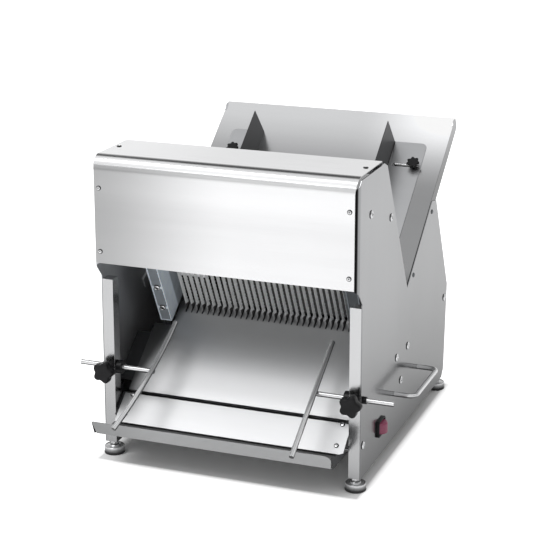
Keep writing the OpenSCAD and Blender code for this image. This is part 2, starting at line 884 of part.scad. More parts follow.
// Blade frame with its bars at the front and a hanger beside each blade
module slide_frame(hangers) {
    n = -bar_gap - frame_tube;
    frame_bar(n, bar_low_s - frame_tube);
    frame_bar(n, bar_top_s);
    both_sides() span([post_x, n, bar_low_s], [post_out_x, -bar_gap, bar_top_s]);
    for (x = hangers) {
        span([x, -bar_gap, bar_low_s - hanger_h], [x + hanger_t, blade_w / 2, bar_low_s]);
        span([x, -bar_gap, bar_top_s], [x + hanger_t, blade_w / 2, bar_top_s + hanger_h]);
    }
    span([-outer_lug_x - lug_t, -bar_mid_n - pin_r - frame_wall, pin_s - pin_r - frame_wall],
        [-outer_lug_x, -bar_mid_n + pin_r + frame_wall, bar_low_s - frame_tube]);
    bar_x(-outer_lug_x - lug_t, -bar_mid_n, pin_s, pin_r, rod_t + gap + lug_t);
}

module blade_frame_a() {
    hangers = [for (i = [0 : 2 : blade_count - 1]) blade_x(i) - hanger_t];
    color(steel) placed() on_blades() slide_frame(hangers);
}

// The rear frame is the front frame turned half round, with its blades between the others
module blade_frame_b() {
    hangers = [for (i = [1 : 2 : blade_count - 1]) -blade_x(i)];
    color(steel) placed() on_blades() rotate([0, 0, half_turn]) slide_frame(hangers);
}

// Every second blade from the first given
module blade_row(first) {
    for (i = [first : 2 : blade_count - 1])
        span([blade_x(i), -blade_w / 2, bar_low_s - hanger_h],
            [blade_x(i) + blade_t, blade_w / 2, bar_top_s + hanger_h]);
}

module blades_a() {
    color(blade_steel) placed() on_blades() blade_row(0);
}

module blades_b() {
    color(blade_steel) placed() on_blades() blade_row(1);
}

// Connecting rod along -Z from its frame pin, with the crank pin at its foot
module conrod() {
    difference() {
        union() {
            bar_x(rod_x, 0, 0, rod_eye_r, rod_t);
            bar_x(rod_x, 0, -rod_len, rod_eye_r, rod_t);
            span([rod_x, -rod_shank_w / 2, -rod_len], [rod_x + rod_t, rod_shank_w / 2, 0]);
        }
        bar_x(rod_x - over, 0, 0, pin_r + run_gap, rod_t + over + over);
    }
    bar_x(rod_x - over, 0, -rod_len, pin_r, over);
}

module conrod_a() {
    color(cast) placed() on_blades() translate([0, -bar_mid_n, pin_s]) rotate([rod_lean, 0, 0])
        on_left() conrod();
}

module conrod_b() {
    color(cast) placed() on_blades() translate([0, bar_mid_n, pin_s]) rotate([-rod_lean, 0, 0])
        conrod();
}

module crankshaft() {
    color(blade_steel) placed() {
        bar_x(-disc_x, crank_y, crank_z, shaft_r, disc_x + disc_x);
        both_sides() bar_x(disc_x, crank_y, crank_z, disc_r, disc_t);
    }
}

// Grooved pulley round X with a bore
module pulley(r, bore) {
    half = pulley_w / 2;
    rotate([0, 90, 0]) rotate_extrude() polygon([[bore, -half], [r, -half], [r, -groove_w / 2],
        [r - groove_d, -groove_w / 2], [r - groove_d, groove_w / 2], [r, groove_w / 2], [r, half],
            [bore, half]]);
}

module crank_pulley() {
    color(cast) placed() translate([0, crank_y, crank_z]) pulley(pulley_r, shaft_r);
}

module motor_pulley() {
    color(cast) placed() translate([0, motor_y, motor_z]) {
        pulley(motor_pulley_r, motor_shaft_r);
        bar_x(-motor_gap - plug_t, 0, 0, motor_shaft_r, motor_gap + plug_t + pulley_w / 2);
    }
}

// Points of an arc from one angle to another round x
function arc(x, r, from, to) = [for (i = [0 : arc_steps])
    [x + r * cos(from + (to - from) * i / arc_steps), r * sin(from + (to - from) * i / arc_steps)]];

// Outline of the belt loop, x towards the motor
module belt_loop(big, small) {
    wrap = 90 - belt_tilt;
    polygon(concat(arc(0, big, wrap, full_turn - wrap), arc(belt_d, small, -wrap, wrap)));
}

module drive_belt() {
    color(rubber) placed() translate([0, crank_y, crank_z]) slab(-belt_w / 2, belt_w)
        rotate(belt_lean) difference() {
        belt_loop(belt_big_r + belt_t, belt_small_r + belt_t);
        belt_loop(belt_big_r, belt_small_r);
    }
}

module bearings() {
    color(bright) placed() both_sides() difference() {
        bar_x(bearing_x, crank_y, crank_z, bearing_r, bearing_w);
        bar_x(bearing_x - over, crank_y, crank_z, shaft_r + run_gap, bearing_w + over + over);
    }
}

module bearing_stands() {
    color(cast) placed() both_sides() difference() {
        union() {
            bar_x(bearing_x, crank_y, crank_z, stand_r, bearing_w);
            span([bearing_x, crank_y - stand_r, pan_top],
                [bearing_x + bearing_w, crank_y + stand_r, crank_z]);
            span([bearing_x + bearing_w - stand_foot_w, crank_y - stand_foot_half, pan_top],
                [bearing_x + bearing_w, crank_y + stand_foot_half, pan_top + stand_foot_t]);
        }
        bar_x(bearing_x - over, crank_y, crank_z, bearing_r, bearing_w + over + over);
    }
}

module base_pan() {
    color(steel) placed() {
        span([-inner_x, pan_front_y, pan_z], [inner_x, rear_leg_y, pan_top]);
        both_sides() span([inner_x - pan_t, pan_front_y, pan_top],
            [inner_x, rear_leg_y, pan_top + pan_fold_h]);
    }
}

module motor() {
    left = -motor_gap - motor_l;
    color(cast) placed() difference() {
        union() {
            bar_x(left, motor_y, motor_z, motor_r, motor_l);
            span([left + (motor_l - motor_foot_l) / 2, motor_y - motor_foot_half, pan_top],
                [left + (motor_l + motor_foot_l)
                    / 2, motor_y + motor_foot_half, pan_top + motor_foot_t]);
            span([left + (motor_l - motor_foot_l) / 2, motor_y - motor_r / 2, pan_top],
                [left + (motor_l + motor_foot_l) / 2, motor_y + motor_r / 2, motor_z]);
        }
        bar_x(-motor_gap - plug_t - over, motor_y, motor_z, motor_shaft_r + run_gap,
            plug_t + over + over);
    }
}

module motor_terminal_box() {
    top = motor_z + motor_r - over;
    mid = -motor_gap - motor_l / 2;
    color(black) placed() difference() {
        span([mid - terminal_box[0] / 2, motor_y - terminal_box[1] / 2, motor_z + motor_r / 2],
            [mid + terminal_box[0] / 2, motor_y + terminal_box[1] / 2, top + terminal_box[2]]);
        bar_x(mid - terminal_box[0], motor_y, motor_z, motor_r, terminal_box[0] * 2);
    }
}

// Bent rear sheet with vent slots
module rear_cover() {
    lean = atan2(tail_y - heel_y, tail_z - heel_z);
    color(steel) placed() difference() {
        slab(-inner_x, inner_x + inner_x) polygon([[heel_y - over, heel_z], [tail_y - over, tail_z],
            [wing_back_y - over, wing_back_z], [wing_back_y - over - cover_t, wing_back_z - cover_t],
            [tail_y - over - cover_t, tail_z - cover_t / 2], [heel_y - over - cover_t, heel_z]]);
        for (i = [0 : vent_count - 1])
            translate([0, heel_y, vent_z + i * vent_pitch])
                span([-vent_l / 2, -leg_w, 0], [vent_l / 2, leg_w, vent_w]);
        translate([gland_x, heel_y, gland_z]) rotate([-90 - lean, 0, 0]) translate([0, 0, -leg_w])
            cylinder(h = leg_w + leg_w, r = gland_r * dome_share + gap);
    }
}

module cable_gland() {
    lean = atan2(tail_y - heel_y, tail_z - heel_z);
    face_y = heel_y - over + (gland_z - heel_z) * tan(lean);
    color(black) placed() translate([gland_x, face_y, gland_z]) rotate([-90 - lean, 0, 0])
        difference() {
        union() {
            cylinder(h = gland_r, r = gland_r, $fn = 6);
            translate([0, 0, gland_r])
                cylinder(h = gland_r / 2, r1 = gland_r * dome_share + over, r2 = gland_r * dome_share);
            translate([0, 0, -gland_r]) cylinder(h = gland_r, r = gland_r * dome_share);
        }
        translate([0, 0, -gland_r - over])
            cylinder(h = gland_r + gland_r + gland_r / 2 + over + over, r = gland_r * third_share);
    }
}

// Bent bar handle on the right panel
module handle() {
    low_y = handle_y - handle_span / 2;
    top_y = handle_y + handle_span / 2;
    reach = handle_out - handle_bend;
    for (y = [low_y, top_y]) {
        bar_x(half_w, y, handle_z, handle_r, reach);
        bar_x(half_w, y, handle_z, handle_foot_r, handle_foot_t);
    }
    translate([half_w + handle_out, low_y + handle_bend, handle_z]) rotate([-90, 0, 0])
        cylinder(h = handle_span - handle_bend - handle_bend, r = handle_r);
    translate([half_w + reach, low_y + handle_bend, handle_z]) rotate([0, 0, -90])
        rotate_extrude(angle = 90) translate([handle_bend, 0]) circle(handle_r);
    translate([half_w + reach, top_y - handle_bend, handle_z])
        rotate_extrude(angle = 90) translate([handle_bend, 0]) circle(handle_r);
}

module left_handle() {
    color(bright) placed() on_left() handle();
}

module right_handle() {
    color(bright) placed() handle();
}

module switch_bezel() {
    color(black) placed() difference() {
        union() {
            span([half_w, switch_y - bezel_w / 2, switch_z - bezel_h / 2],
                [half_w + bezel_t, switch_y + bezel_w / 2, switch_z + bezel_h / 2]);
            span([inner_x - switch_d, switch_y - rocker_w / 2, switch_z - rocker_h / 2],
                [half_w, switch_y + rocker_w / 2, switch_z + rocker_h / 2]);
        }
        span([inner_x - bezel_t - panel_t, switch_y - rocker_w / 2 + over,
            switch_z - rocker_h / 2 + over],
            [half_w + bezel_t + over, switch_y + rocker_w / 2 - over, switch_z + rocker_h / 2 - over]);
    }
}

// Rocker with a crowned face, tilting about an upright axis
module switch_rocker() {
    pivot_x = half_w - bezel_t / 2;
    slack = over + gap;
    color(red) placed() translate([pivot_x, switch_y, switch_z]) intersection() {
        translate([0, 0, slack - rocker_h / 2])
            cylinder(h = rocker_h - slack - slack, r = rocker_w / 2 - slack);
        span([-panel_t, -rocker_w, -rocker_h], [rocker_r, rocker_w, rocker_h]);
    }
}

// Side view of the tray sheet, floor and front lip
module tray_profile() {
    rise = tray_t * (1 - sin(lip_lean)) / cos(lip_lean);
    top_y = tray_front_y - lip_h * sin(lip_lean);
    top_z = tray_z + lip_h * cos(lip_lean);
    polygon([[tray_rear_y, tray_z], [tray_front_y, tray_z], [top_y, top_z],
        [top_y + tray_t * cos(lip_lean), top_z + tray_t * sin(lip_lean)],
        [tray_front_y + tray_t * cos(lip_lean) - rise * sin(lip_lean), tray_z + tray_t],
        [tray_rear_y, tray_z + tray_t]]);
}

// Cut at the right end of the lip, in the plane of the lip
module lip_end(r) {
    half = lip_half_w;
    polygon([[half - lip_taper, -over], [half + over, -over], [half + over, lip_h + over], [half, lip_h]]);
    difference() {
        translate([half - r, lip_h - r]) square([r + over, r + over]);
        translate([half - r, lip_h - r]) circle(r);
    }
}

// Crumb tray about its own middle
module tray_sheet() {
    top = tray_z + tray_t;
    fold_y = tray_front_y + lip_taper;
    difference() {
        slab(-lip_half_w, lip_half_w + lip_half_w) tray_profile();
        translate([0, tray_front_y, tray_z]) rotate([90 + lip_lean, 0, 0])
            translate([0, 0, -lip_taper]) linear_extrude(lip_taper + over) {
                lip_end(lip_right_r);
                mirror([1, 0]) lip_end(lip_left_r);
            }
        both_sides()
            span([tray_half_w, fold_y, tray_z - over], [lip_half_w + over, tray_rear_y + over, top + over]);
    }
    both_sides()
        span([tray_half_w - tray_t, leg_front_y, tray_z], [tray_half_w, tray_rear_y, top + tray_edge_h]);
    span([-tray_half_w, tray_rear_y - tray_t, tray_z], [tray_half_w, tray_rear_y, top + tray_back_h]);
}

module crumb_tray() {
    color(steel) placed() translate([tray_x, 0, 0]) tray_sheet();
}

module tray_runners() {
    start = leg_front_y + leg_d;
    color(steel) placed() both_sides() {
        span([runner_x, start, runner_z - runner_t], [inner_x, tray_rear_y, runner_z]);
        span([inner_x - runner_t, start, runner_z - runner_h],
            [inner_x, tray_rear_y, runner_z - runner_t]);
    }
}

// Bush through the leg and the panel
module bush() {
    difference() {
        union() {
            bar_x(leg_in_x - collar_l, leg_mid_y, bar_z, bush_r,
                collar_l + inner_x - leg_in_x + panel_t + bush_out_l);
            bar_x(leg_in_x - collar_l, leg_mid_y, bar_z, collar_r, collar_l - gap);
        }
        bar_x(leg_in_x - collar_l - over, leg_mid_y, bar_z, bar_r + run_gap, handle_span);
    }
}

module left_bush() {
    color(black) placed() on_left() bush();
}

module right_bush() {
    color(black) placed() bush();
}

// Places a rod on its guide bar, y up the rod and z off the plate
module on_bar(inner, skew) {
    translate([inner, leg_mid_y, bar_z]) rotate([rod_slope, 0, 0]) rotate([0, 0, skew])
        translate([0, 0, bar_r + bar_r - over]) children();
}

// Guide bar with a bowed rod
module left_rod() {
    up_a = rod_up_l / rod_bow_r * degrees;
    low_a = rod_low_l / rod_bow_r * degrees;
    color(bright) placed() on_left() {
        bar_x(left_bar_in, leg_mid_y, bar_z, bar_r, left_bar_l);
        on_bar(left_bar_in, left_rod_skew) translate([rod_bow_r, 0, 0]) rotate([0, 0, half_turn - up_a])
            rotate_extrude(angle = up_a + low_a) translate([rod_bow_r, 0]) circle(bar_r);
    }
}

// Guide bar with a straight rod
module right_rod() {
    color(bright) placed() {
        bar_x(right_bar_in, leg_mid_y, bar_z, bar_r, right_bar_l);
        on_bar(right_bar_in, 0) rotate([90, 0, 0]) translate([0, 0, -rod_up_l])
            cylinder(h = rod_up_l + rod_low_l, r = bar_r);
    }
}

// Plan of a star knob head
module star(r, lobe, count) {
    circle(r - lobe);
    for (i = [0 : count - 1])
        rotate(i * full_turn / count) translate([r - lobe, 0]) circle(lobe);
}

// Clamp knob in front of a leg, its stud pointing back
module clamp_knob() {
    stud_l = neck_l + leg_wall + leg_d / 2 - bush_r - leg_wall;
    translate([leg_mid_x, leg_front_y - gap, bar_z]) rotate([90, 0, 0]) {
        cylinder(h = neck_l, r = neck_r);
        translate([0, 0, neck_l]) linear_extrude(knob_h) star(knob_r, lobe_r, knob_lobes);
        translate([0, 0, neck_l - stud_l]) cylinder(h = stud_l, r = clamp_r);
    }
}

module left_knob() {
    color(black) placed() on_left() clamp_knob();
}

module right_knob() {
    color(black) placed() clamp_knob();
}

// Outline of a guide flange on the chute
module guide_flange() {
    translate([0, guide_low_l]) square([guide_flange_w, guide_top_l - guide_low_l - guide_corner_r]);
    translate([0, guide_low_l]) square([guide_flange_w - guide_corner_r, guide_top_l - guide_low_l]);
    translate([guide_flange_w - guide_corner_r, guide_top_l - guide_corner_r]) circle(guide_corner_r);
}

// Slot in a guide flange
module guide_slot() {
    slot_r = guide_stud_r + gap;
    translate([guide_slot_in, guide_slot_l]) circle(slot_r);
    translate([guide_slot_out, guide_slot_l]) circle(slot_r);
    translate([guide_slot_in, guide_slot_l - slot_r])
        square([guide_slot_out - guide_slot_in, slot_r + slot_r]);
}

// Loaf guide with a web across the chute and a slotted flange
module guide(x) {
    on_slide() translate([x, 0, 0]) {
        difference() {
            linear_extrude(plate_t) guide_flange();
            translate([0, 0, -over]) linear_extrude(plate_t + over + over) guide_slot();
        }
        slab(0, plate_t) polygon([[guide_low_l, 0], [guide_top_l, 0], [guide_top_l - guide_lean_l, guide_h],
            [guide_low_l, guide_h]]);
    }
}

module left_guide() {
    color(steel) placed() on_left() guide(left_guide_x);
}

module right_guide() {
    color(steel) placed() guide(right_guide_x);
}

module guide_studs() {
    color(blade_steel) placed() on_slide() both_sides()
        translate([guide_stud_x, guide_slot_l, 0]) cylinder(h = guide_stud_h, r = guide_stud_r);
}

// Small star knob on a guide stud
module guide_knob() {
    base = plate_t + gap;
    on_slide() translate([guide_stud_x, guide_slot_l, base]) difference() {
        union() {
            cylinder(h = small_knob_h / 2, r = small_knob_r * dome_share);
            translate([0, 0, small_knob_h / 2]) linear_extrude(small_knob_h / 2)
                star(small_knob_r, small_knob_r * lobe_share, small_lobes);
        }
        translate([0, 0, -over])
            cylinder(h = guide_stud_h - base + gap + over, r = guide_stud_r + run_gap);
    }
}

module left_guide_knob() {
    color(black) placed() on_left() guide_knob();
}

module right_guide_knob() {
    color(black) placed() guide_knob();
}

left_panel();
right_panel();
left_front_leg();
right_front_leg();
left_rear_leg();
right_rear_leg();
hood();
hood_screws();
panel_bolts();
chute_screws();
chute_plate();
discharge_plate();
plate_supports();
lower_strip();
strip_screws();
strip_brackets();
left_rail();
right_rail();
rail_brackets();
rail_bolts();
blade_frame_a();
blade_frame_b();
blades_a();
blades_b();
conrod_a();
conrod_b();
crankshaft();
crank_pulley();
bearings();
bearing_stands();
base_pan();
motor();
motor_terminal_box();
motor_pulley();
drive_belt();
rear_cover();
cable_gland();
left_handle();
right_handle();
switch_bezel();
switch_rocker();
crumb_tray();
tray_runners();
left_bush();
right_bush();
left_rod();
right_rod();
left_knob();
right_knob();
left_guide();
right_guide();
guide_studs();
left_guide_knob();
right_guide_knob();
foot_front_left();
foot_front_right();
foot_rear_left();
foot_rear_right();
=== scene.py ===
"""Looks of a counter-top bread slicer in stainless sheet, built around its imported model."""

import json
import math

import bmesh
import bpy
from bpy.props import FloatProperty, FloatVectorProperty, IntProperty, PointerProperty
from mathutils import Matrix, Vector

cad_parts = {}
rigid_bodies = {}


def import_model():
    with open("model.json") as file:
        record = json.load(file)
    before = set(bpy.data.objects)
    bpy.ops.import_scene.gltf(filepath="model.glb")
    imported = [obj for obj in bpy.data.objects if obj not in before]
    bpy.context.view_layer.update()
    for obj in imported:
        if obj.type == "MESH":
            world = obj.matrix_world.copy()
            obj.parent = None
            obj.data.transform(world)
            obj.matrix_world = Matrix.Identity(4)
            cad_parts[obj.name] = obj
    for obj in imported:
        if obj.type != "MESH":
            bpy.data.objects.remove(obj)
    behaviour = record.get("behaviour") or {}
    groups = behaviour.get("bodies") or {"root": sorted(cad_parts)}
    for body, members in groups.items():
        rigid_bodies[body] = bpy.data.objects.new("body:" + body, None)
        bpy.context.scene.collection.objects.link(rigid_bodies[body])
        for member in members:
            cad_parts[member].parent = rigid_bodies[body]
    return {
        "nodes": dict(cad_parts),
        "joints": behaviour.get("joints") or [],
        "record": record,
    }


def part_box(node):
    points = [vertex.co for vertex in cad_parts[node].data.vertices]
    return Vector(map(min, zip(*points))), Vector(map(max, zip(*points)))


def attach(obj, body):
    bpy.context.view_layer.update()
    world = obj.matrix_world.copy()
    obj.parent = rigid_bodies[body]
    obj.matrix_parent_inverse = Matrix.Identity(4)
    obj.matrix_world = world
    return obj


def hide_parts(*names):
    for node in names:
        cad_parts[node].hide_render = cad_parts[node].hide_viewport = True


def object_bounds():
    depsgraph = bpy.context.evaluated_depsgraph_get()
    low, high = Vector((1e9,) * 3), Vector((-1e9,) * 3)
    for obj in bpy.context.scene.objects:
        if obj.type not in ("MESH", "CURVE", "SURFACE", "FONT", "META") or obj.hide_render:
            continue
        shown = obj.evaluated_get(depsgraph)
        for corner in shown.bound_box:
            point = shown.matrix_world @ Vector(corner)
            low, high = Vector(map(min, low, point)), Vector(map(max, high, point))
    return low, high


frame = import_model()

bl_info = {
    "name": "Bread slicer looks",
    "version": (1, 0, 0),
    "blender": (4, 5, 0),
    "location": "3D View > Sidebar > Slicer",
    "description": "Finishes, rounded sheet edges, screws, blades, knobs, feet and studio of a bread slicer",
    "category": "Object",
}

CAD_LOW, CAD_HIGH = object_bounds()
NODES = frame["nodes"]
JOINTS = {joint["name"]: joint for joint in frame["joints"]}
BODY_OF = {n: body for body, names in frame["record"]["behaviour"]["bodies"].items() for n in names}
SLOT_OF = {row["node"]: row["material_slot"] for row in frame["record"]["subparts"]}
MM = 0.001
FULL_TURN = 2 * math.pi
UP = Vector((0, 0, 1))


# Settings that a user would change

def length(name, description, default):
    """A length property in metres with a size given in millimetres."""
    return FloatProperty(name=name, description=description, default=default * MM,
                         subtype="DISTANCE", unit="LENGTH", precision=5)


def angle(name, description, default):
    """An angle property with a size given in degrees."""
    return FloatProperty(name=name, description=description, default=math.radians(default),
                         subtype="ANGLE", unit="ROTATION")


def colour(name, description, default):
    """A colour property."""
    return FloatVectorProperty(name=name, description=description, default=default,
                               subtype="COLOR", size=3, min=0, max=1)


def amount(name, description, default):
    """A plain number property."""
    return FloatProperty(name=name, description=description, default=default)


class SlicerSheetSettings(bpy.types.PropertyGroup):
    """Rounding of sheet, tube and turned pieces."""

    edge: length("Sheet edge", "Rounding on the edges of sheet pieces", 0.4)
    turned: length("Turned edge", "Rounding on the edges of turned pieces", 0.8)
    steps: IntProperty(name="Edge steps", description="Steps across a rounded edge", default=2)
    hood_gap: length("Hood gap", "Gap from each end of the hood's front to its panel", 4.4)
    hood_top_gap: length("Hood top gap", "Gap from each end of the hood's top to its panel", 1.2)
    strip_top: length("Strip gap", "Extra gap above the lower strip", 3.2)
    strip_low: length("Strip reach", "Extra reach of the low edge of the lower strip", 4.5)
    hood_bend: length("Hood bend", "Outer radius of the bend of the hood", 29)
    hood_wall: length("Hood wall", "Thickness of the hood", 1.5)
    hood_lip: length("Hood lip", "Height of the lip that hangs from the rear edge of the hood", 26)
    tray_gusset: length("Tray gusset", "Depth of the right end plate of the crumb tray", 85)
    tray_wall: length("Tray wall", "Thickness of the ends of the crumb tray", 1.2)
    rail_wall: length("Rail wall", "Walls beside the open channel of a rail", 2.2)
    rail_depth: length("Rail channel", "Depth of the open channel in the front wall of a rail", 1.2)
    rail_seat: length("Rail seat", "Half of the length of a bolt's seat in a rail", 3)
    vent_mat: length("Vent mat", "Thickness of the mat behind the vents, and its edge round them", 4)
    handle: length("Handle radius", "Radius of the bar of a carry handle", 5)
    handle_bend: length("Handle bend", "Radius of the bends of a carry handle", 16)


class SlicerScrewSettings(bpy.types.PropertyGroup):
    """Screw and bolt heads."""

    screw_head: length("Screw head height", "Height of a pan head", 2.2)
    bolt_head: length("Bolt head height", "Height of a button head", 5)
    shank: length("Shank radius", "Radius of the shanks", 2.6)
    spread: amount("Screw spread", "Radius of a screw head to that of its plain solid", 1.2)
    bolt_spread: amount("Bolt spread", "Radius of a bolt head to that of its plain solid", 1.35)
    cross: length("Cross width", "Width of each arm of the cross recess", 1.1)
    seed: IntProperty(name="Seed", description="Seed of the turn of each head", default=4)


class SlicerBladeSettings(bpy.types.PropertyGroup):
    """Slicing blades."""

    tilt: angle("Blade tilt", "Lean of the blades from upright", 27.5)
    pitch: length("Scallop pitch", "Length of one scallop of the cutting edge", 9)
    depth: length("Scallop depth", "Depth of a scallop", 1.4)
    steps: IntProperty(name="Scallop steps", description="Points along one scallop", default=5)


class SlicerKnobSettings(bpy.types.PropertyGroup):
    """Star knobs on the guide bars and on the loaf guides."""

    radius: length("Radius", "Radius over the lobes of a bar knob", 22)
    lobes: IntProperty(name="Lobes", description="Lobes of a bar knob", default=5)
    height: length("Height", "Thickness of the star of a bar knob", 19)
    neck: length("Neck", "Length of the neck behind the star", 15)
    neck_radius: length("Neck radius", "Radius of the neck", 10)
    turn: angle("Turn", "Turn of the star about its axis", 2)
    small_radius: length("Small radius", "Radius over the lobes of a guide knob", 14)
    small_lobes: IntProperty(name="Small lobes", description="Lobes of a guide knob", default=7)
    small_neck: amount("Small neck", "Radius of the neck of a guide knob to that of its star", 0.55)
    small_height: length("Small height", "Height of a guide knob over its flange", 15)
    seat: length("Seat", "Height of the foot of a guide knob's stud over the joint", 1.9)
    small_lift: length("Small lift", "Height of a guide knob over its flange, for the pin below it", 3.4)
    pin: length("Pin radius", "Radius of the slide pin below a guide knob", 1.5)
    pin_hole: length("Pin hole", "Radius of the hole for a slide pin in the web of its guide", 2.2)
    pin_length: length("Pin length", "Length of the slide pin from the middle of its knob", 40)
    valley: FloatProperty(name="Valley share", description="Depth of the valleys between lobes",
                          default=0.24, subtype="FACTOR")


class SlicerFootSettings(bpy.types.PropertyGroup):
    """Levelling feet."""

    radius: length("Radius", "Radius of the foot", 20.5)
    pad: length("Pad height", "Height of the rubber pad", 3.2)
    rim: length("Rim height", "Height of the rim of the cap", 15)
    shoulder: length("Shoulder height", "Height of the boss under the nut", 17.5)
    nut_low: length("Nut height", "Height of the underside of the nut", 18)
    nut: length("Nut thickness", "Thickness of the nut", 6)
    nut_radius: length("Nut radius", "Radius over the corners of the nut", 8.5)
    stud: length("Stud radius", "Radius of the stud", 5)


class SlicerSwitchSettings(bpy.types.PropertyGroup):
    """Power switch."""

    corner: length("Bezel corner", "Corner radius of the bezel", 5)
    lip: length("Bezel lip", "Rounding of the front of the bezel", 1.6)
    wall: length("Bezel wall", "Width of the bezel round the rocker", 3.5)
    well: length("Bezel well", "Depth of the well for the rocker below the panel's face", 10)
    crown: length("Rocker crown", "Extra height of the crown of the rocker", 4)
    gap: length("Rocker gap", "Gap round the rocker", 1.2)
    rocker_corner: length("Rocker corner", "Corner radius of the rocker", 5)


class SlicerColours(bpy.types.PropertyGroup):
    """Base colours of the finishes."""

    panel: colour("Panel steel", "Brushed sheet of the panels", (0.3, 0.303, 0.31))
    hood: colour("Hood steel", "Bright sheet of the hood", (0.72, 0.722, 0.73))
    plate: colour("Plate steel", "Fine brushed sheet of chute and plates", (0.68, 0.685, 0.695))
    strip: colour("Strip steel", "Satin sheet of the lower strip", (0.6, 0.604, 0.612))
    tray: colour("Tray steel", "Dull sheet of the crumb tray", (0.4, 0.404, 0.408))
    guide: colour("Guide steel", "Sheet of the loaf guides", (0.42, 0.425, 0.435))
    discharge: colour("Comb plate steel", "Satin sheet of the comb plate", (0.75, 0.755, 0.765))
    leg: colour("Leg steel", "Satin tube of the legs", (0.53, 0.533, 0.54))
    chrome: colour("Chrome", "Polished bars and plated parts", (0.8, 0.805, 0.815))
    screw: colour("Screw steel", "Bright plated screws", (0.72, 0.725, 0.735))
    blade: colour("Blade steel", "Ground blades", (0.93, 0.94, 0.94))
    # Near black, as painted shade on the brackets and the ends of the crumb tray
    dark: colour("Dark steel", "Shaded brackets and tray ends", (0.03, 0.031, 0.033))
    grey: colour("Frame grey", "Satin grey of the blade frames", (0.14, 0.145, 0.15))
    nylon: colour("Rail nylon", "Bluish nylon of the rails", (0.84, 0.92, 1.0))
    iron: colour("Drive iron", "Painted and machined drive parts", (0.16, 0.17, 0.18))
    black: colour("Black plastic", "Knobs, bushes and bezel", (0.008, 0.008, 0.009))
    red: colour("Rocker red", "Rocker of the switch", (0.27, 0.045, 0.1))
    rubber: colour("Rubber", "Belt and foot pads", (0.012, 0.012, 0.013))


class SlicerStageSettings(bpy.types.PropertyGroup):
    """Floor, lights and camera."""

    floor: colour("Floor", "Colour of the floor", (0.8, 0.8, 0.8))
    key: amount("Key light", "Power of the soft box above the front left, in watts", 36.0)
    sky: amount("Sky", "Strength of the world", 0.78)
    lens: FloatProperty(name="Lens", description="Focal length in millimetres", default=107.18)


SETTINGS = {
    "slicer_sheet": SlicerSheetSettings,
    "slicer_screws": SlicerScrewSettings,
    "slicer_blades": SlicerBladeSettings,
    "slicer_knobs": SlicerKnobSettings,
    "slicer_feet": SlicerFootSettings,
    "slicer_switch": SlicerSwitchSettings,
    "slicer_colours": SlicerColours,
    "slicer_stage": SlicerStageSettings,
}


# Materials

class Nodes:
    """Adds and links the nodes of one tree."""

    def __init__(self, tree):
        self.tree = tree

    def add(self, kind, **values):
        """A new node with these values set on it."""
        node = self.tree.nodes.new(kind)
        for key, value in values.items():
            setattr(node, key, value)
        return node

    def feed(self, socket, source):
        """Links another socket to an input, or sets a constant on it."""
        if isinstance(source, bpy.types.NodeSocket):
            self.tree.links.new(source, socket)
        else:
            socket.default_value = source

    def span(self, source, low, high, first, last):
        """Maps low to high of a value smoothly on first to last."""
        node = self.add("ShaderNodeMapRange", interpolation_type="SMOOTHSTEP")
        for socket, value in zip(node.inputs, (source, low, high, first, last)):
            self.feed(socket, value)
        return node.outputs[0]

    def math(self, operation, first, second):
        """The result of an operation on two values."""
        node = self.add("ShaderNodeMath", operation=operation)
        self.feed(node.inputs[0], first)
        self.feed(node.inputs[1], second)
        return node.outputs[0]

    def vector(self, operation, *sources):
        """The result of an operation on vectors: a vector, or a value for a length or a dot product."""
        node = self.add("ShaderNodeVectorMath", operation=operation)
        for socket, source in zip(node.inputs, sources):
            self.feed(socket, source)
        return node.outputs["Value" if operation in ("LENGTH", "DOT_PRODUCT") else "Vector"]


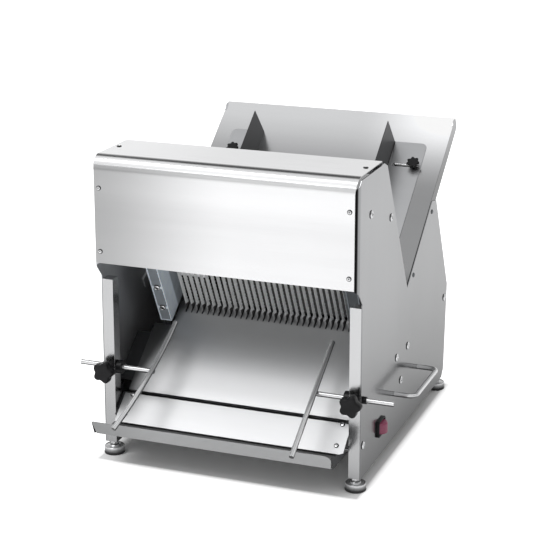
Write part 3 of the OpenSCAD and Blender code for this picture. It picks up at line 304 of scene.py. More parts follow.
class Finish(Nodes):
    """One material, with patterns on Object coordinates."""

    def __init__(self, name):
        self.material = bpy.data.materials.new(name)
        self.material.use_nodes = True
        super().__init__(self.material.node_tree)
        self.bsdf = self.tree.nodes["Principled BSDF"]
        self.coords = self.add("ShaderNodeTexCoord").outputs["Object"]

    def noise(self, stretch, detail=2.0):
        """Noise with so many waves per metre along X, Y and Z."""
        mapping = self.add("ShaderNodeMapping")
        self.feed(mapping.inputs["Vector"], self.coords)
        self.feed(mapping.inputs["Scale"], stretch)
        noise = self.add("ShaderNodeTexNoise")
        self.feed(noise.inputs["Vector"], mapping.outputs["Vector"])
        self.feed(noise.inputs["Scale"], 1.0)
        self.feed(noise.inputs["Detail"], detail)
        return noise.outputs[0]

    def shade(self, gain, *stretches):
        """A factor that goes from 1 to a gain where all stretches (axis, from, to) are passed."""
        share = self.product([self.span(self.along(axis), low, high, 0.0, 1.0)
                              for axis, low, high in stretches])
        return self.math("ADD", self.math("MULTIPLY", share, gain - 1), 1.0)

    def along(self, axis):
        """The place along X, Y or Z, or along a direction."""
        if isinstance(axis, int):
            split = self.add("ShaderNodeSeparateXYZ")
            self.feed(split.inputs[0], self.coords)
            return split.outputs[axis]
        return self.vector("DOT_PRODUCT", self.coords, axis)

    def product(self, factors):
        """All factors times one another."""
        result = factors[0]
        for factor in factors[1:]:
            result = self.math("MULTIPLY", result, factor)
        return result

    def tint(self, base, factor):
        """A colour times a varying factor, on the base colour."""
        node = self.add("ShaderNodeVectorMath", operation="SCALE")
        self.feed(node.inputs[0], tuple(base))
        self.feed(node.inputs["Scale"], factor)
        self.feed(self.bsdf.inputs["Base Color"], node.outputs[0])

    def set(self, **values):
        """Constant values straight on the shader, with _ for a space in the socket's name."""
        for key, value in values.items():
            self.bsdf.inputs[key.replace("_", " ").title().replace("Ior", "IOR")].default_value = value

    def dish(self, axis, low, high, depth):
        """Bends the light on a flat sheet as a shallow curve along an axis would."""
        self.bump(self.span(self.along(axis), low, high, 1.0, 0.0), depth, 1.0)

    def rough(self, source):
        """The roughness of the shader."""
        self.feed(self.bsdf.inputs["Roughness"], source)

    def bump(self, source, depth, strength):
        """Small relief of so much depth on the shader."""
        node = self.add("ShaderNodeBump")
        self.feed(node.inputs["Strength"], strength)
        self.feed(node.inputs["Distance"], depth)
        self.feed(node.inputs["Height"], source)
        self.feed(self.bsdf.inputs["Normal"], node.outputs[0])


GRAIN_WAVES = 1400.0
GRAIN_RUN = 14.0
STREAK_WAVES = 55.0
STREAK_RUN = 2.5


def grain(waves, run, axis):
    """Waves per metre for a pattern drawn out along one axis."""
    return tuple(run if i == axis else waves for i in range(3))


X, Y, Z = range(3)


def stretch(axis, first, last, start=0.0):
    """A way along an axis from one place to another, in millimetres from a start."""
    return axis, start + first * MM, start + last * MM


def brushed_steel(name, base, roughness, axis, *shades,
                  streak=0.01, grit=0.03, dish=None, metal=1.0, dull=None):
    """Brushed sheet: fine grain along an axis, soft streaks, slow clouds, and painted light and shade by
    place where shades are given.
    """
    finish = Finish(name)
    fine = finish.noise(grain(GRAIN_WAVES, GRAIN_RUN, axis))
    streaks = finish.noise(grain(STREAK_WAVES, STREAK_RUN, axis), 3.0)
    clouds = finish.noise((9.0, 9.0, 9.0), 2.0)
    factors = [finish.span(streaks, 0.3, 0.7, 1 - streak, 1 + streak)]
    # The shades paint light, shade and reflections into the colour by place.
    factors += [finish.shade(*shade) for shade in shades]
    finish.tint(base, finish.product(factors))
    finish.set(metallic=metal)
    grainy = finish.span(fine, 0.25, 0.75, roughness - grit, roughness + grit)
    grainy = finish.math("ADD", grainy, finish.span(clouds, 0.3, 0.7, -0.5 * grit, 0.5 * grit))
    finish.rough(finish.math("MULTIPLY", grainy, finish.shade(*dull)) if dull else grainy)
    if dish:
        finish.dish(*dish)
    else:
        finish.bump(fine, 0.02 * MM, 0.06)
    return finish.material


def panel_steel(colours):
    """Panels, with painted shade and reflections: darker low down and to the rear, paler high up, paler and
    dull inside on the left, and a painted black shadow in the gap beside the hood.
    """
    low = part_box("left_panel")[0]
    hood_low, hood_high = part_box("hood")
    # Painted reflection: the inner face of the left panel is made paler, and also rougher.
    inside = (stretch(X, -0.8, -0.2, hood_low.x), stretch(X, 100, -100))
    # Painted shadow: a black line on the panel in the gap beside the hood's front.
    gap = (stretch(X, -5.5, -4.5, hood_high.x), stretch(X, 0.6, 0, hood_high.x),
           stretch(Y, 8.8, 5.8, hood_low.y))
    return brushed_steel("panel_finish", colours.panel, 0.17, Z,
                         (0.68, stretch(Z, 394, 74, low.z)), (1.12, stretch(Z, 374, 534, low.z)),
                         (0.87, stretch(Y, 147.3, 397.3, low.y)), (1.9, *inside), (0.02, *gap),
                         dull=(3.0, *inside))


def hood_steel(colours):
    """Hood, with painted reflections: darker to the left, paler high on its front and at the left of its top,
    with a dark line and a grey band on its bend.
    """
    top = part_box("hood")[1].z
    return brushed_steel("hood_finish", colours.hood, 0.2, X,
                         (0.5, stretch(X, 30, -270), stretch(Z, -7, -27, top)),
                         (1.15, stretch(Z, -112, -52, top), stretch(Z, -7, -22, top)),
                         (0.24, stretch(Z, -19.5, -14, top), stretch(Z, -7.5, -11, top)),
                         (0.6, stretch(Z, -3, -1.5, top), stretch(Z, -0.03, -0.2, top)),
                         (1.18, stretch(X, 50, -250), stretch(Z, -12, -2, top)))


def plate_steel(colours):
    """Plain brushed sheet."""
    return brushed_steel("plate_finish", colours.plate, 0.27, X)


def strip_steel(colours):
    """Strip: satin, with painted shade darker at its left end."""
    return brushed_steel("strip_finish", colours.strip, 0.5, X, (0.85, stretch(X, -150, -210)), grit=0.01)


def guide_steel(colours):
    """Loaf guides: standing webs painted dark as shade, on pale flanges."""
    right, left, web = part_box("right_guide")[0].x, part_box("left_guide")[1].x, 3.5
    return brushed_steel("guide_finish", colours.guide, 0.36, X,
                         (0.14, stretch(X, -web, 0, right), stretch(X, web, web / 2, right)),
                         (0.14, stretch(X, web, 0, left), stretch(X, -web, -web / 2, left)), grit=0.01)


def chute_steel(colours):
    """Chute, with painted light and shade: paler up and to the right, black at its foot, grey on its folded
    sides.
    """
    foot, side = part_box("chute_plate")[0].z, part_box("chute_plate")[1].x
    return brushed_steel("chute_finish", colours.plate, 0.22, X,
                         (0.43, stretch(Z, 322.4, 202.4, foot)), (0.1, stretch(Z, 82.4, 37.4, foot)),
                         (1.7, stretch(X, 50, 250), stretch(Z, 187.4, 337.4, foot)),
                         (0.3, stretch(X, -0.8, -0.2, side)), (0.3, stretch(X, 0.8, 0.2, -side)),
                         streak=0.006)


def discharge_steel(colours):
    """Comb plate, with painted shade and reflections: dark under the hood, at the comb and to the left, pale
    at its low end.
    """
    left = (1.0, -0.307, 0.0)
    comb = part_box("discharge_plate")[1].y
    return brushed_steel("discharge_finish", colours.discharge, 0.42, X,
                         (0.6, stretch(Y, -120.5, -30.5, comb)), (0.76, stretch(Y, -120.5, -160.5, comb)),
                         (0.22, stretch(left, -145, -170)), (0.6, stretch(Y, -26, -12, comb)),
                         streak=0.004, grit=0.006, dish=(*stretch(Y, -30.5, -200.5, comb), 9 * MM))


def tray_steel(colours):
    """Crumb tray: dull, with painted shade darker to the left."""
    return brushed_steel("tray_finish", colours.tray, 0.55, X, (0.78, stretch(X, -100, -250)))


def leg_steel(colours):
    """Legs, with painted shade: darker low down and on the left."""
    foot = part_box("left_front_leg")[0].z
    return brushed_steel("leg_finish", colours.leg, 0.2, Z,
                         (0.78, stretch(Z, 224, 54, foot)), (0.88, stretch(X, 100, -100)))


def blade_steel(colours):
    """Blades: satin, with a painted black shadow in the slots of the comb."""
    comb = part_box("discharge_plate")[1].z
    return brushed_steel("blade_finish", colours.blade, 0.45, X, (0.03, stretch(Z, 3, 1, comb)),
                         streak=0.06, metal=0.0)


# Place on the facing attribute, and level there, of plated metal: a painted reflection, dark low on the scale
# and pale high on it
CHROME_TONES = ((0.0, 0.04), (0.22, 0.06), (0.42, 0.45), (0.55, 1.0), (0.86, 1.0), (0.95, 0.45), (1.0, 0.7))


def screw_steel(colours):
    """Plated heads of screws and bolts."""
    return chrome("screw_finish", colours.screw, 0.15, 0.25)


def chrome(name, base, least, most, metal=1.0):
    """Polished metal with a painted reflection: its tone follows the piece's own facing attribute, dark
    below, pale above.
    """
    finish = Finish(name)
    facing = finish.add("ShaderNodeAttribute", attribute_name="facing")
    marks = finish.noise((300.0, 300.0, 300.0), 3.0)
    tone = finish.add("ShaderNodeValToRGB")
    while len(tone.color_ramp.elements) < len(CHROME_TONES):
        tone.color_ramp.elements.new(0.5)
    for element, (place_at, level) in zip(tone.color_ramp.elements, CHROME_TONES):
        element.position = place_at
        element.color = (level, level, level, 1)
    finish.feed(tone.inputs[0], facing.outputs["Fac"])
    level = finish.math("MULTIPLY", tone.outputs[0], finish.span(marks, 0.3, 0.7, 0.95, 1.02))
    finish.tint(base, level)
    finish.set(metallic=metal)
    finish.rough(finish.span(marks, 0.3, 0.7, least, most))
    return finish.material


def bar_chrome(colours):
    """Polished bars, handles and pins."""
    return chrome("bar_finish", colours.chrome, 0.12, 0.18, 0.6)


def foot_chrome(colours):
    """Plated caps and nuts of the feet."""
    return chrome("foot_finish", colours.chrome, 0.1, 0.18, 0.55)


def frame_steel(colours):
    """Satin grey coat with a fine orange peel."""
    return coated("frame_steel", colours.grey, 0.45, 900.0)


def dark_steel(colours):
    """Steel painted near black as shade, for brackets and tray ends."""
    return coated("dark_steel", colours.dark, 0.5, 900.0, 0.0, 0.2)


def drive_iron(colours):
    """Cast and machined iron under thin dark paint."""
    return coated("drive_iron", colours.iron, 0.5, 400.0)


def coated(name, base, roughness, waves, metal=0.35, gloss=0.5):
    """A thin coat on metal, with peel and small changes of tone."""
    finish = Finish(name)
    peel = finish.noise((waves,) * 3, 2.0)
    clouds = finish.noise((14.0,) * 3, 3.0)
    finish.tint(base, finish.span(clouds, 0.3, 0.7, 0.88, 1.1))
    finish.set(metallic=metal, specular_ior_level=gloss)
    finish.rough(finish.span(peel, 0.3, 0.7, roughness - 0.06, roughness + 0.06))
    finish.bump(peel, 0.06 * MM, 0.3)
    return finish.material


def moulded(name, base, roughness, waves, tone=0.12, depth=0.05, shades=(), gloss=0.5):
    """Moulded plastic or rubber with a fine spark-eroded skin, and painted light and shade by place where
    shades are given.
    """
    finish = Finish(name)
    skin = finish.noise((waves,) * 3, 3.0)
    clouds = finish.noise((60.0,) * 3, 2.0)
    factors = [finish.span(clouds, 0.3, 0.7, 1 - tone, 1 + tone)]
    factors += [finish.shade(*shade) for shade in shades]
    finish.tint(base, finish.product(factors))
    finish.rough(finish.span(skin, 0.3, 0.7, roughness - 0.07, roughness + 0.07))
    finish.bump(skin, depth * MM, 0.35)
    finish.set(specular_ior_level=gloss)
    return finish.material


def rail_nylon(colours):
    """Rails, with painted shade: darker behind their middle, in their channel and on the right, and with a
    painted highlight on the front of their rims.
    """
    low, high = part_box("left_rail")
    back = tuple(-leaning(bpy.context.scene.slicer_blades.tilt)[1])
    middle = Vector(back).dot((low + high) / 2)
    front = min(Vector(back).dot(vertex.co) for vertex in NODES["left_rail"].data.vertices)
    channel = stretch(back, 0.5, 1, front), stretch(back, 2, 1.5, front)
    return moulded("rail_nylon", colours.nylon, 0.38, 700.0, 0.05,
                   shades=((0.3, stretch(X, 0, 100)), (0.4, stretch(back, -2, 4, middle)),
                           (1.5, stretch(back, 0.8, 0.3, front)), (0.45, *channel)))


def black_plastic(colours):
    """Knobs, bushes and bezel."""
    return moulded("black_plastic", colours.black, 0.36, 1100.0, 0.2, gloss=0.18)


def red_plastic(colours):
    """Rocker of the switch."""
    return moulded("red_plastic", colours.red, 0.24, 900.0, 0.06, 0.02)


def belt_rubber(colours):
    """Belt, foot pads and filter mat."""
    return moulded("belt_rubber", colours.rubber, 0.6, 800.0, 0.2, 0.08)


FINISHES = {make.__name__: make for make in (
    panel_steel, hood_steel, plate_steel, strip_steel, guide_steel, chute_steel, discharge_steel,
    tray_steel, leg_steel, screw_steel, bar_chrome, blade_steel, frame_steel, dark_steel, rail_nylon,
    drive_iron, black_plastic, red_plastic, belt_rubber, foot_chrome)}
# Plate supports and strip brackets take the near-black painted shade.
LOOKS = {"plate_supports": "dark_steel", "strip_brackets": "dark_steel", "chute_screws": "drive_iron",
         "chute_plate": "chute_steel", "discharge_plate": "discharge_steel", "crumb_tray": "tray_steel",
         "lower_strip": "strip_steel", "left_guide": "guide_steel", "right_guide": "guide_steel"}
MADE = {}


def finish_named(context, slot):
    """The material of a finish, made when it is first asked for."""
    if slot not in MADE:
        MADE[slot] = FINISHES[slot](context.scene.slicer_colours)
    return MADE[slot]


# Mesh helpers

def new_object(name, mesh):
    """An object of the scene with this mesh."""
    obj = bpy.data.objects.new(name, mesh)
    bpy.context.scene.collection.objects.link(obj)
    return obj


def plain_mesh(obj):
    """Turns an object's modifiers into a plain mesh."""
    graph = bpy.context.evaluated_depsgraph_get()
    mesh = bpy.data.meshes.new_from_object(obj.evaluated_get(graph), depsgraph=graph)
    old = obj.data
    obj.modifiers.clear()
    obj.data = mesh
    mesh.name = obj.name
    bpy.data.meshes.remove(old)
    return obj


def delete(obj):
    """Removes an object and its mesh."""
    mesh = obj.data
    bpy.data.objects.remove(obj)
    bpy.data.meshes.remove(mesh)


def mesh_from(bm, name, smooth_angle=40.0):
    """A mesh from a bmesh, with normals outwards and smooth below an angle."""
    bmesh.ops.recalc_face_normals(bm, faces=bm.faces)
    mesh = bpy.data.meshes.new(name)
    bm.to_mesh(mesh)
    bm.free()
    mesh.shade_smooth()
    mesh.set_sharp_from_angle(angle=math.radians(smooth_angle))
    return mesh


def piece(name, bm, smooth_angle=40.0):
    """An object from a bmesh."""
    return new_object(name, mesh_from(bm, name, smooth_angle))


def cut(obj, cutter):
    """Takes the shape of a cutter out of an object, once its modifiers are applied."""
    modifier = obj.modifiers.new("cut", "BOOLEAN")
    modifier.operation = "DIFFERENCE"
    modifier.object = cutter


def merged_copy(node):
    """A bmesh of a CAD node with its loose triangles joined and flat faces made whole."""
    bm = bmesh.new()
    bm.from_mesh(NODES[node].data)
    bmesh.ops.remove_doubles(bm, verts=bm.verts, dist=0.001 * MM)
    bmesh.ops.dissolve_limit(bm, angle_limit=math.radians(0.4), verts=bm.verts, edges=bm.edges)
    return bm


def place(context, obj, nodes, slot=None, body=None, look=None):
    """Gives a piece the finish of its slot and its body, and hides the CAD nodes that it stands for."""
    slot = slot or SLOT_OF[nodes[0]]
    if not obj.data.materials:
        look = look or (LOOKS.get(nodes[0], slot) if nodes else slot)
        obj.data.materials.append(finish_named(context, look))
    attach(obj, body or BODY_OF[nodes[0]])
    if nodes:
        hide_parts(*nodes)
    return obj


def leaning(tilt):
    """Directions up along the blades and ahead of them."""
    return Vector((0, -math.sin(tilt), math.cos(tilt))), Vector((0, -math.cos(tilt), -math.sin(tilt)))


def rounded(context, node, radius, cutters=()):
    """A copy of a CAD node, less some cutters, with rounded edges, in place of the node."""
    bm = merged_copy(node)
    mesh = bpy.data.meshes.new(node)
    bm.to_mesh(mesh)
    bm.free()
    mesh.shade_smooth()
    obj = new_object(node + "_sheet", mesh)
    for cutter in cutters:
        cut(obj, cutter)
    bevel = obj.modifiers.new("edges", "BEVEL")
    bevel.width = radius
    bevel.segments = context.scene.slicer_sheet.steps
    bevel.limit_method = "ANGLE"
    bevel.angle_limit = math.radians(35)
    bevel.use_clamp_overlap = False
    normals = obj.modifiers.new("normals", "WEIGHTED_NORMAL")
    normals.keep_sharp = True
    plain_mesh(obj)
    return place(context, obj, [node])


def dress(context, *nodes):
    """Gives CAD nodes whose shape is right their finish."""
    for node in nodes:
        materials = NODES[node].data.materials
        materials.clear()
        materials.append(finish_named(context, SLOT_OF[node]))


def joined_rings(rings):
    """A closed bmesh skin over rings of points, each ring with as many points."""
    bm = bmesh.new()
    loops = [[bm.verts.new(point) for point in ring] for ring in rings]
    for low, high in zip(loops, loops[1:]):
        for i in range(len(low)):
            j = (i + 1) % len(low)
            bm.faces.new((low[i], low[j], high[j], high[i]))
    bm.faces.new(reversed(loops[0]))
    bm.faces.new(loops[-1])
    return bm


def turned(profile, steps=48):
    """A bmesh of a turned shape about Z from (radius, height) points."""
    least = 0.01 * MM
    turns = [FULL_TURN * i / steps for i in range(steps)]
    rings = []
    for radius, height in profile:
        reach = max(radius, least)
        rings.append([(reach * math.cos(turn), reach * math.sin(turn), height) for turn in turns])
    return joined_rings(rings)


def stand(bm, origin, axis, turn=0.0):
    """Turns a bmesh from +Z to an axis and moves it to an origin."""
    turned_to = UP.rotation_difference(Vector(axis)).to_matrix().to_4x4()
    matrix = Matrix.Translation(origin) @ turned_to @ Matrix.Rotation(turn, 4, "Z")
    bmesh.ops.transform(bm, matrix=matrix, verts=bm.verts)
    return bm


def mark(mesh, level_of):
    """Stores a level for each point of a mesh, as the facing attribute that sets the painted reflection of
    plated metal.
    """
    facing = mesh.attributes.new("facing", "FLOAT", "POINT")
    for item, vertex in zip(facing.data, mesh.vertices):
        item.value = level_of(vertex)


def mark_facing(mesh):
    """Stores how far each point of a mesh faces up, from 0 for down to 1 for up, for the painted reflection
    of plated metal.
    """
    mark(mesh, lambda vertex: 0.5 + 0.5 * vertex.normal.z)


def mark_shine(mesh, way):
    """Stores how far each point of a thin bar faces one way, from 0 for across or away to 1, for the painted
    highlight and dark edges of plated metal.
    """
    mark(mesh, lambda vertex: max(0.0, vertex.normal.dot(way)))


def pin_foot(context, side):
    """Foot of a slide pin, in the stud of its guide knob."""
    knobs = context.scene.slicer_knobs
    joint = JOINTS[side + "_guide_knob_turn"]
    return Vector(joint["pos_m"]) + Vector(joint["axis"]) * knobs.seat + UP * knobs.pin


def swept(path, radius, steps=20):
    """A bmesh of a round bar along a path of points."""
    turns = [FULL_TURN * i / steps for i in range(steps)]
    rings = []
    for i, point in enumerate(path):
        ahead = (path[min(i + 1, len(path) - 1)] - path[max(i - 1, 0)]).normalized()
        across = ahead.cross(UP).normalized()
        rings.append([point + (across * math.cos(turn) + UP * math.sin(turn)) * radius for turn in turns])
    return joined_rings(rings)


def islands(node):
    """The points of each separate solid of a CAD node, in the order of the solids' low corners."""
    bm = merged_copy(node)
    left = set(bm.verts)
    groups = []
    while left:
        todo = [left.pop()]
        group = []
        while todo:
            vert = todo.pop()
            group.append(vert.co.copy())
            for edge in vert.link_edges:
                other = edge.other_vert(vert)
                if other in left:
                    left.remove(other)
                    todo.append(other)
        groups.append(group)
    bm.free()
    return sorted(groups, key=lambda group: tuple(round(c, 5) for c in box_of(group)[0]))


def box_of(points):
    """Low and high corner of some points."""
    low = Vector([min(p[i] for p in points) for i in range(3)])
    high = Vector([max(p[i] for p in points) for i in range(3)])
    return low, high


# Geometry Nodes trees

class Tree(Nodes):
    """Builds a Geometry Nodes tree that ends in Realize Instances and Set Material."""

    def __init__(self, name, inputs):
        super().__init__(bpy.data.node_groups.new(name, "GeometryNodeTree"))
        face = self.tree.interface
        face.new_socket(name="Geometry", in_out="INPUT", socket_type="NodeSocketGeometry")
        self.ids = {}
        for label, kind in inputs.items():
            socket = face.new_socket(name=label, in_out="INPUT", socket_type="NodeSocket" + kind)
            self.ids[label] = socket.identifier
        face.new_socket(name="Geometry", in_out="OUTPUT", socket_type="NodeSocketGeometry")
        self.input = self.add("NodeGroupInput")

    def link(self, source, target):
        """Links two sockets."""
        self.tree.links.new(source, target)

    def finish(self, instances):
        """Makes the instances real, gives them the material and puts them out."""
        real = self.add("GeometryNodeRealizeInstances")
        paint = self.add("GeometryNodeSetMaterial")
        out = self.add("NodeGroupOutput")
        self.link(instances, real.inputs["Geometry"])
        self.link(real.outputs["Geometry"], paint.inputs["Geometry"])
        self.link(self.input.outputs["Material"], paint.inputs["Material"])
        self.link(paint.outputs["Geometry"], out.inputs[0])
        return self

    def apply(self, obj, values):
        """Runs the tree on an object with these inputs and keeps the result as its mesh."""
        modifier = obj.modifiers.new(self.tree.name, "NODES")
        modifier.node_group = self.tree
        for label, value in values.items():
            modifier[self.ids[label]] = value
        return plain_mesh(obj)


def row_tree():
    """Copies of an object in a straight row."""
    tree = Tree("Row of copies", {"Copy": "Object", "Count": "Int", "Start": "Vector", "Step": "Vector",
                                  "Material": "Material"})
    line = tree.add("GeometryNodeMeshLine", mode="OFFSET", count_mode="TOTAL")
    info = tree.add("GeometryNodeObjectInfo")
    copies = tree.add("GeometryNodeInstanceOnPoints")
    tree.link(tree.input.outputs["Count"], line.inputs["Count"])
    tree.link(tree.input.outputs["Start"], line.inputs["Start Location"])
    tree.link(tree.input.outputs["Step"], line.inputs["Offset"])
    tree.link(tree.input.outputs["Copy"], info.inputs["Object"])
    tree.link(line.outputs["Mesh"], copies.inputs["Points"])
    tree.link(info.outputs["Geometry"], copies.inputs["Instance"])
    return tree.finish(copies.outputs["Instances"])


def heads_tree():
    """Screw heads on points, along each point's axis, each with a turn of its own."""
    tree = Tree("Heads on points", {"Head": "Object", "Seed": "Int", "Material": "Material"})
    info = tree.add("GeometryNodeObjectInfo")
    axis = tree.add("GeometryNodeInputNamedAttribute", data_type="FLOAT_VECTOR")
    axis.inputs["Name"].default_value = "axis"
    align = tree.add("FunctionNodeAlignRotationToVector", axis="Z")
    spin = tree.add("FunctionNodeRandomValue", data_type="FLOAT")
    low, high = [s for s in spin.inputs if s.type == "VALUE" and s.name in ("Min", "Max")][:2]
    low.default_value = 0.0
    high.default_value = FULL_TURN
    about = tree.add("FunctionNodeAxisAngleToRotation")
    turn = tree.add("FunctionNodeRotateRotation", rotation_space="LOCAL")
    copies = tree.add("GeometryNodeInstanceOnPoints")
    tree.link(tree.input.outputs["Head"], info.inputs["Object"])
    tree.link(axis.outputs[0], align.inputs["Vector"])
    tree.link(tree.input.outputs["Seed"], spin.inputs["Seed"])
    tree.link([s for s in spin.outputs if s.type == "VALUE"][0], about.inputs["Angle"])
    tree.link(align.outputs[0], turn.inputs["Rotation"])
    tree.link(about.outputs[0], turn.inputs["Rotate By"])
    tree.link(tree.input.outputs["Geometry"], copies.inputs["Points"])
    tree.link(info.outputs["Geometry"], copies.inputs["Instance"])
    tree.link(turn.outputs[0], copies.inputs["Rotation"])
    return tree.finish(copies.outputs["Instances"])


# Pieces

class SLICER_OT_sheets(bpy.types.Operator):
    """Panels, hood, legs, plates, chute, guides, rails and tray with rounded edges"""

    bl_idname = "slicer.sheets"
    bl_label = "Sheet pieces"

    def execute(self, context):
        sheet = context.scene.slicer_sheet
        corner = piece("hood_corner", self.corner(sheet))
        for node in ("left_panel", "right_panel"):
            rounded(context, node, sheet.edge, cutters=[corner])
        delete(corner)
        for node in ("left_rail", "right_rail"):
            cutters = self.channel(context, node)
            rounded(context, node, sheet.edge, cutters=cutters)
            for cutter in cutters:
                delete(cutter)
        for node in ("left_front_leg", "right_front_leg", "left_rear_leg", "right_rear_leg", "rear_cover",
                     "chute_plate", "discharge_plate", "crumb_tray", "base_pan", "plate_supports",
                     "strip_brackets", "rail_brackets", "tray_runners"):
            rounded(context, node, sheet.edge)
        for side in ("left", "right"):
            hole = self.pin_hole(context, side)
            rounded(context, side + "_guide", sheet.edge, cutters=[hole])
            delete(hole)
        place(context, piece("hood_sheet", self.hood(sheet), 30.0), ["hood"])
        self.lengthen(rounded(context, "lower_strip", sheet.edge).data, sheet)
        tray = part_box("crumb_tray")
        # The end plates of the tray are near black, as painted shade.
        for name, x, inwards in (("left_tray_end", tray[0].x, 1), ("right_tray_end", tray[1].x, -1)):
            end = piece(name, self.tray_end(sheet, x, inwards))
            place(context, end, [], SLOT_OF["crumb_tray"], BODY_OF["crumb_tray"], "dark_steel")
        place(context, piece("vent_mat", self.vent_mat(sheet)), [], "belt_rubber", BODY_OF["rear_cover"])
        return {"FINISHED"}

    def channel(self, context, node):
        """Cutters of the open channel in a rail, which stops at the seat of each bolt."""
        sheet = context.scene.slicer_sheet
        run, ahead = leaning(context.scene.slicer_blades.tilt)
        low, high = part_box(node)
        points = [vertex.co for vertex in NODES[node].data.vertices]
        front = max(point.dot(ahead) for point in points)
        heights = [point.dot(run) for point in points]
        stops = [min(heights) + sheet.rail_wall, max(heights) - sheet.rail_wall]
        for group in islands("rail_bolts"):
            middle = sum(box_of(group), Vector()) / 2
            if middle.x * low.x > 0:
                stops += [middle.dot(run) - sheet.rail_seat, middle.dot(run) + sheet.rail_seat]
        stops.sort()
        cutters = []
        for first, last in zip(stops[::2], stops[1::2]):
            near, far = front + sheet.rail_wall, front - sheet.rail_depth
            corners = ((first, far), (last, far), (last, near), (first, near))
            outline = [run * height + ahead * out for height, out in corners]
            rings = [[point + Vector((x, 0, 0)) for point in outline]
                     for x in (low.x + sheet.rail_wall, high.x - sheet.rail_wall)]
            cutters.append(piece("channel", joined_rings(rings)))
        return cutters

    def pin_hole(self, context, side):
        """Cutter of the hole in the web of a guide through which the slide pin passes."""
        radius, past = context.scene.slicer_knobs.pin_hole, 5 * MM
        foot = pin_foot(context, side)
        web = min(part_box(side + "_guide"), key=lambda corner: abs(corner.x)).x
        bm = turned([(radius, -past), (radius, past)], 24)
        stand(bm, Vector((web, foot.y, foot.z)), Vector((1, 0, 0)))
        return piece("pin_hole", bm)

    def vent_mat(self, sheet):
        """A dark filter mat behind the vent slots of the rear cover."""
        slots_within, behind = 0.4, 0.2 * MM
        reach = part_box("rear_cover")[1].x * slots_within
        low, high = box_of([v.co for v in NODES["rear_cover"].data.vertices if abs(v.co.x) < reach])
        edge = sheet.vent_mat
        rings = [[(low.x - edge, y, low.z - edge), (high.x + edge, y, low.z - edge),
                  (high.x + edge, y, high.z + edge), (low.x - edge, y, high.z + edge)]
                 for y in (low.y - edge, low.y - behind)]
        return joined_rings(rings)

    def bend(self, sheet, inset, steps=24):
        """Points of the hood's bend, so far inside its outer face."""
        low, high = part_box("hood")
        radius = sheet.hood_bend - inset
        middle = (low.y + sheet.hood_bend, high.z - sheet.hood_bend)
        turns = [math.pi / 2 * i / steps for i in range(steps + 1)]
        return [(middle[0] - radius * math.cos(t), middle[1] + radius * math.sin(t)) for t in turns]

    def hood(self, sheet):
        """The hood as one bent sheet between the panels."""
        low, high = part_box("hood")
        wall = sheet.hood_wall
        rear, foot = high.y, high.z - sheet.hood_lip
        outside = [(low.y, low.z)] + self.bend(sheet, 0.0) + [(rear, high.z), (rear, foot)]
        inside = [(low.y + wall, low.z)] + self.bend(sheet, wall)
        inside += [(rear - wall, high.z - wall), (rear - wall, foot)]
        rings = []
        for side in (-1, 1):
            ring = []
            for y, z in outside + inside[::-1]:
                rise = min(max((z - high.z) / sheet.hood_bend + 1, 0.0), 1.0) if y < rear - wall else 1.0
                gap = sheet.hood_gap + (sheet.hood_top_gap - sheet.hood_gap) * rise
                ring.append((side * (high.x - gap), y, z))
            rings.append(ring)
        return joined_rings(rings)

    def corner(self, sheet):
        """What is cut from the panels beside the hood's bend."""
        low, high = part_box("hood")
        past = 10 * MM
        half, top, front = high.x + past, high.z + past, low.y - past
        bend = self.bend(sheet, sheet.hood_wall)
        profile = bend + [(bend[-1][0], top), (front, top), (front, bend[0][1])]
        return joined_rings([[(x, y, z) for y, z in profile] for x in (-half, half)])

    def lengthen(self, mesh, sheet):
        """Moves the strip down its slope, more at its low edge."""
        low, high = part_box("lower_strip")
        slope = Vector((0, low.y - high.y, low.z - high.z)).normalized()
        for vertex in mesh.vertices:
            share = (high.y - vertex.co.y) / (high.y - low.y)
            vertex.co += slope * (sheet.strip_top + (sheet.strip_low - sheet.strip_top) * share)

    def tray_end(self, sheet, x, inwards):
        """A three-sided end plate behind the tray's lip."""
        points = [Vector((x, v.co.y, v.co.z)) for v in NODES["crumb_tray"].data.vertices]
        top = min(points, key=lambda p: p.y - p.z)
        foot = min(points, key=lambda p: p.y + 2 * p.z)
        depth = sheet.tray_gusset if inwards < 0 else sheet.tray_gusset / 2
        corners = (top, foot, foot + Vector((0, depth, 0)))
        across = Vector((inwards * sheet.tray_wall, 0, 0))
        return joined_rings([corners, [corner + across for corner in corners]])


class SLICER_OT_drive(bpy.types.Operator):
    """Blade frames, connecting rods, crank, pulleys, bearings, belt and motor"""

    bl_idname = "slicer.drive"
    bl_label = "Drive pieces"

    def execute(self, context):
        dress(context, "blade_frame_a", "blade_frame_b", "conrod_a", "conrod_b", "crankshaft",
              "crank_pulley", "motor_pulley", "bearings", "bearing_stands", "drive_belt", "motor",
              "motor_terminal_box")
        return {"FINISHED"}


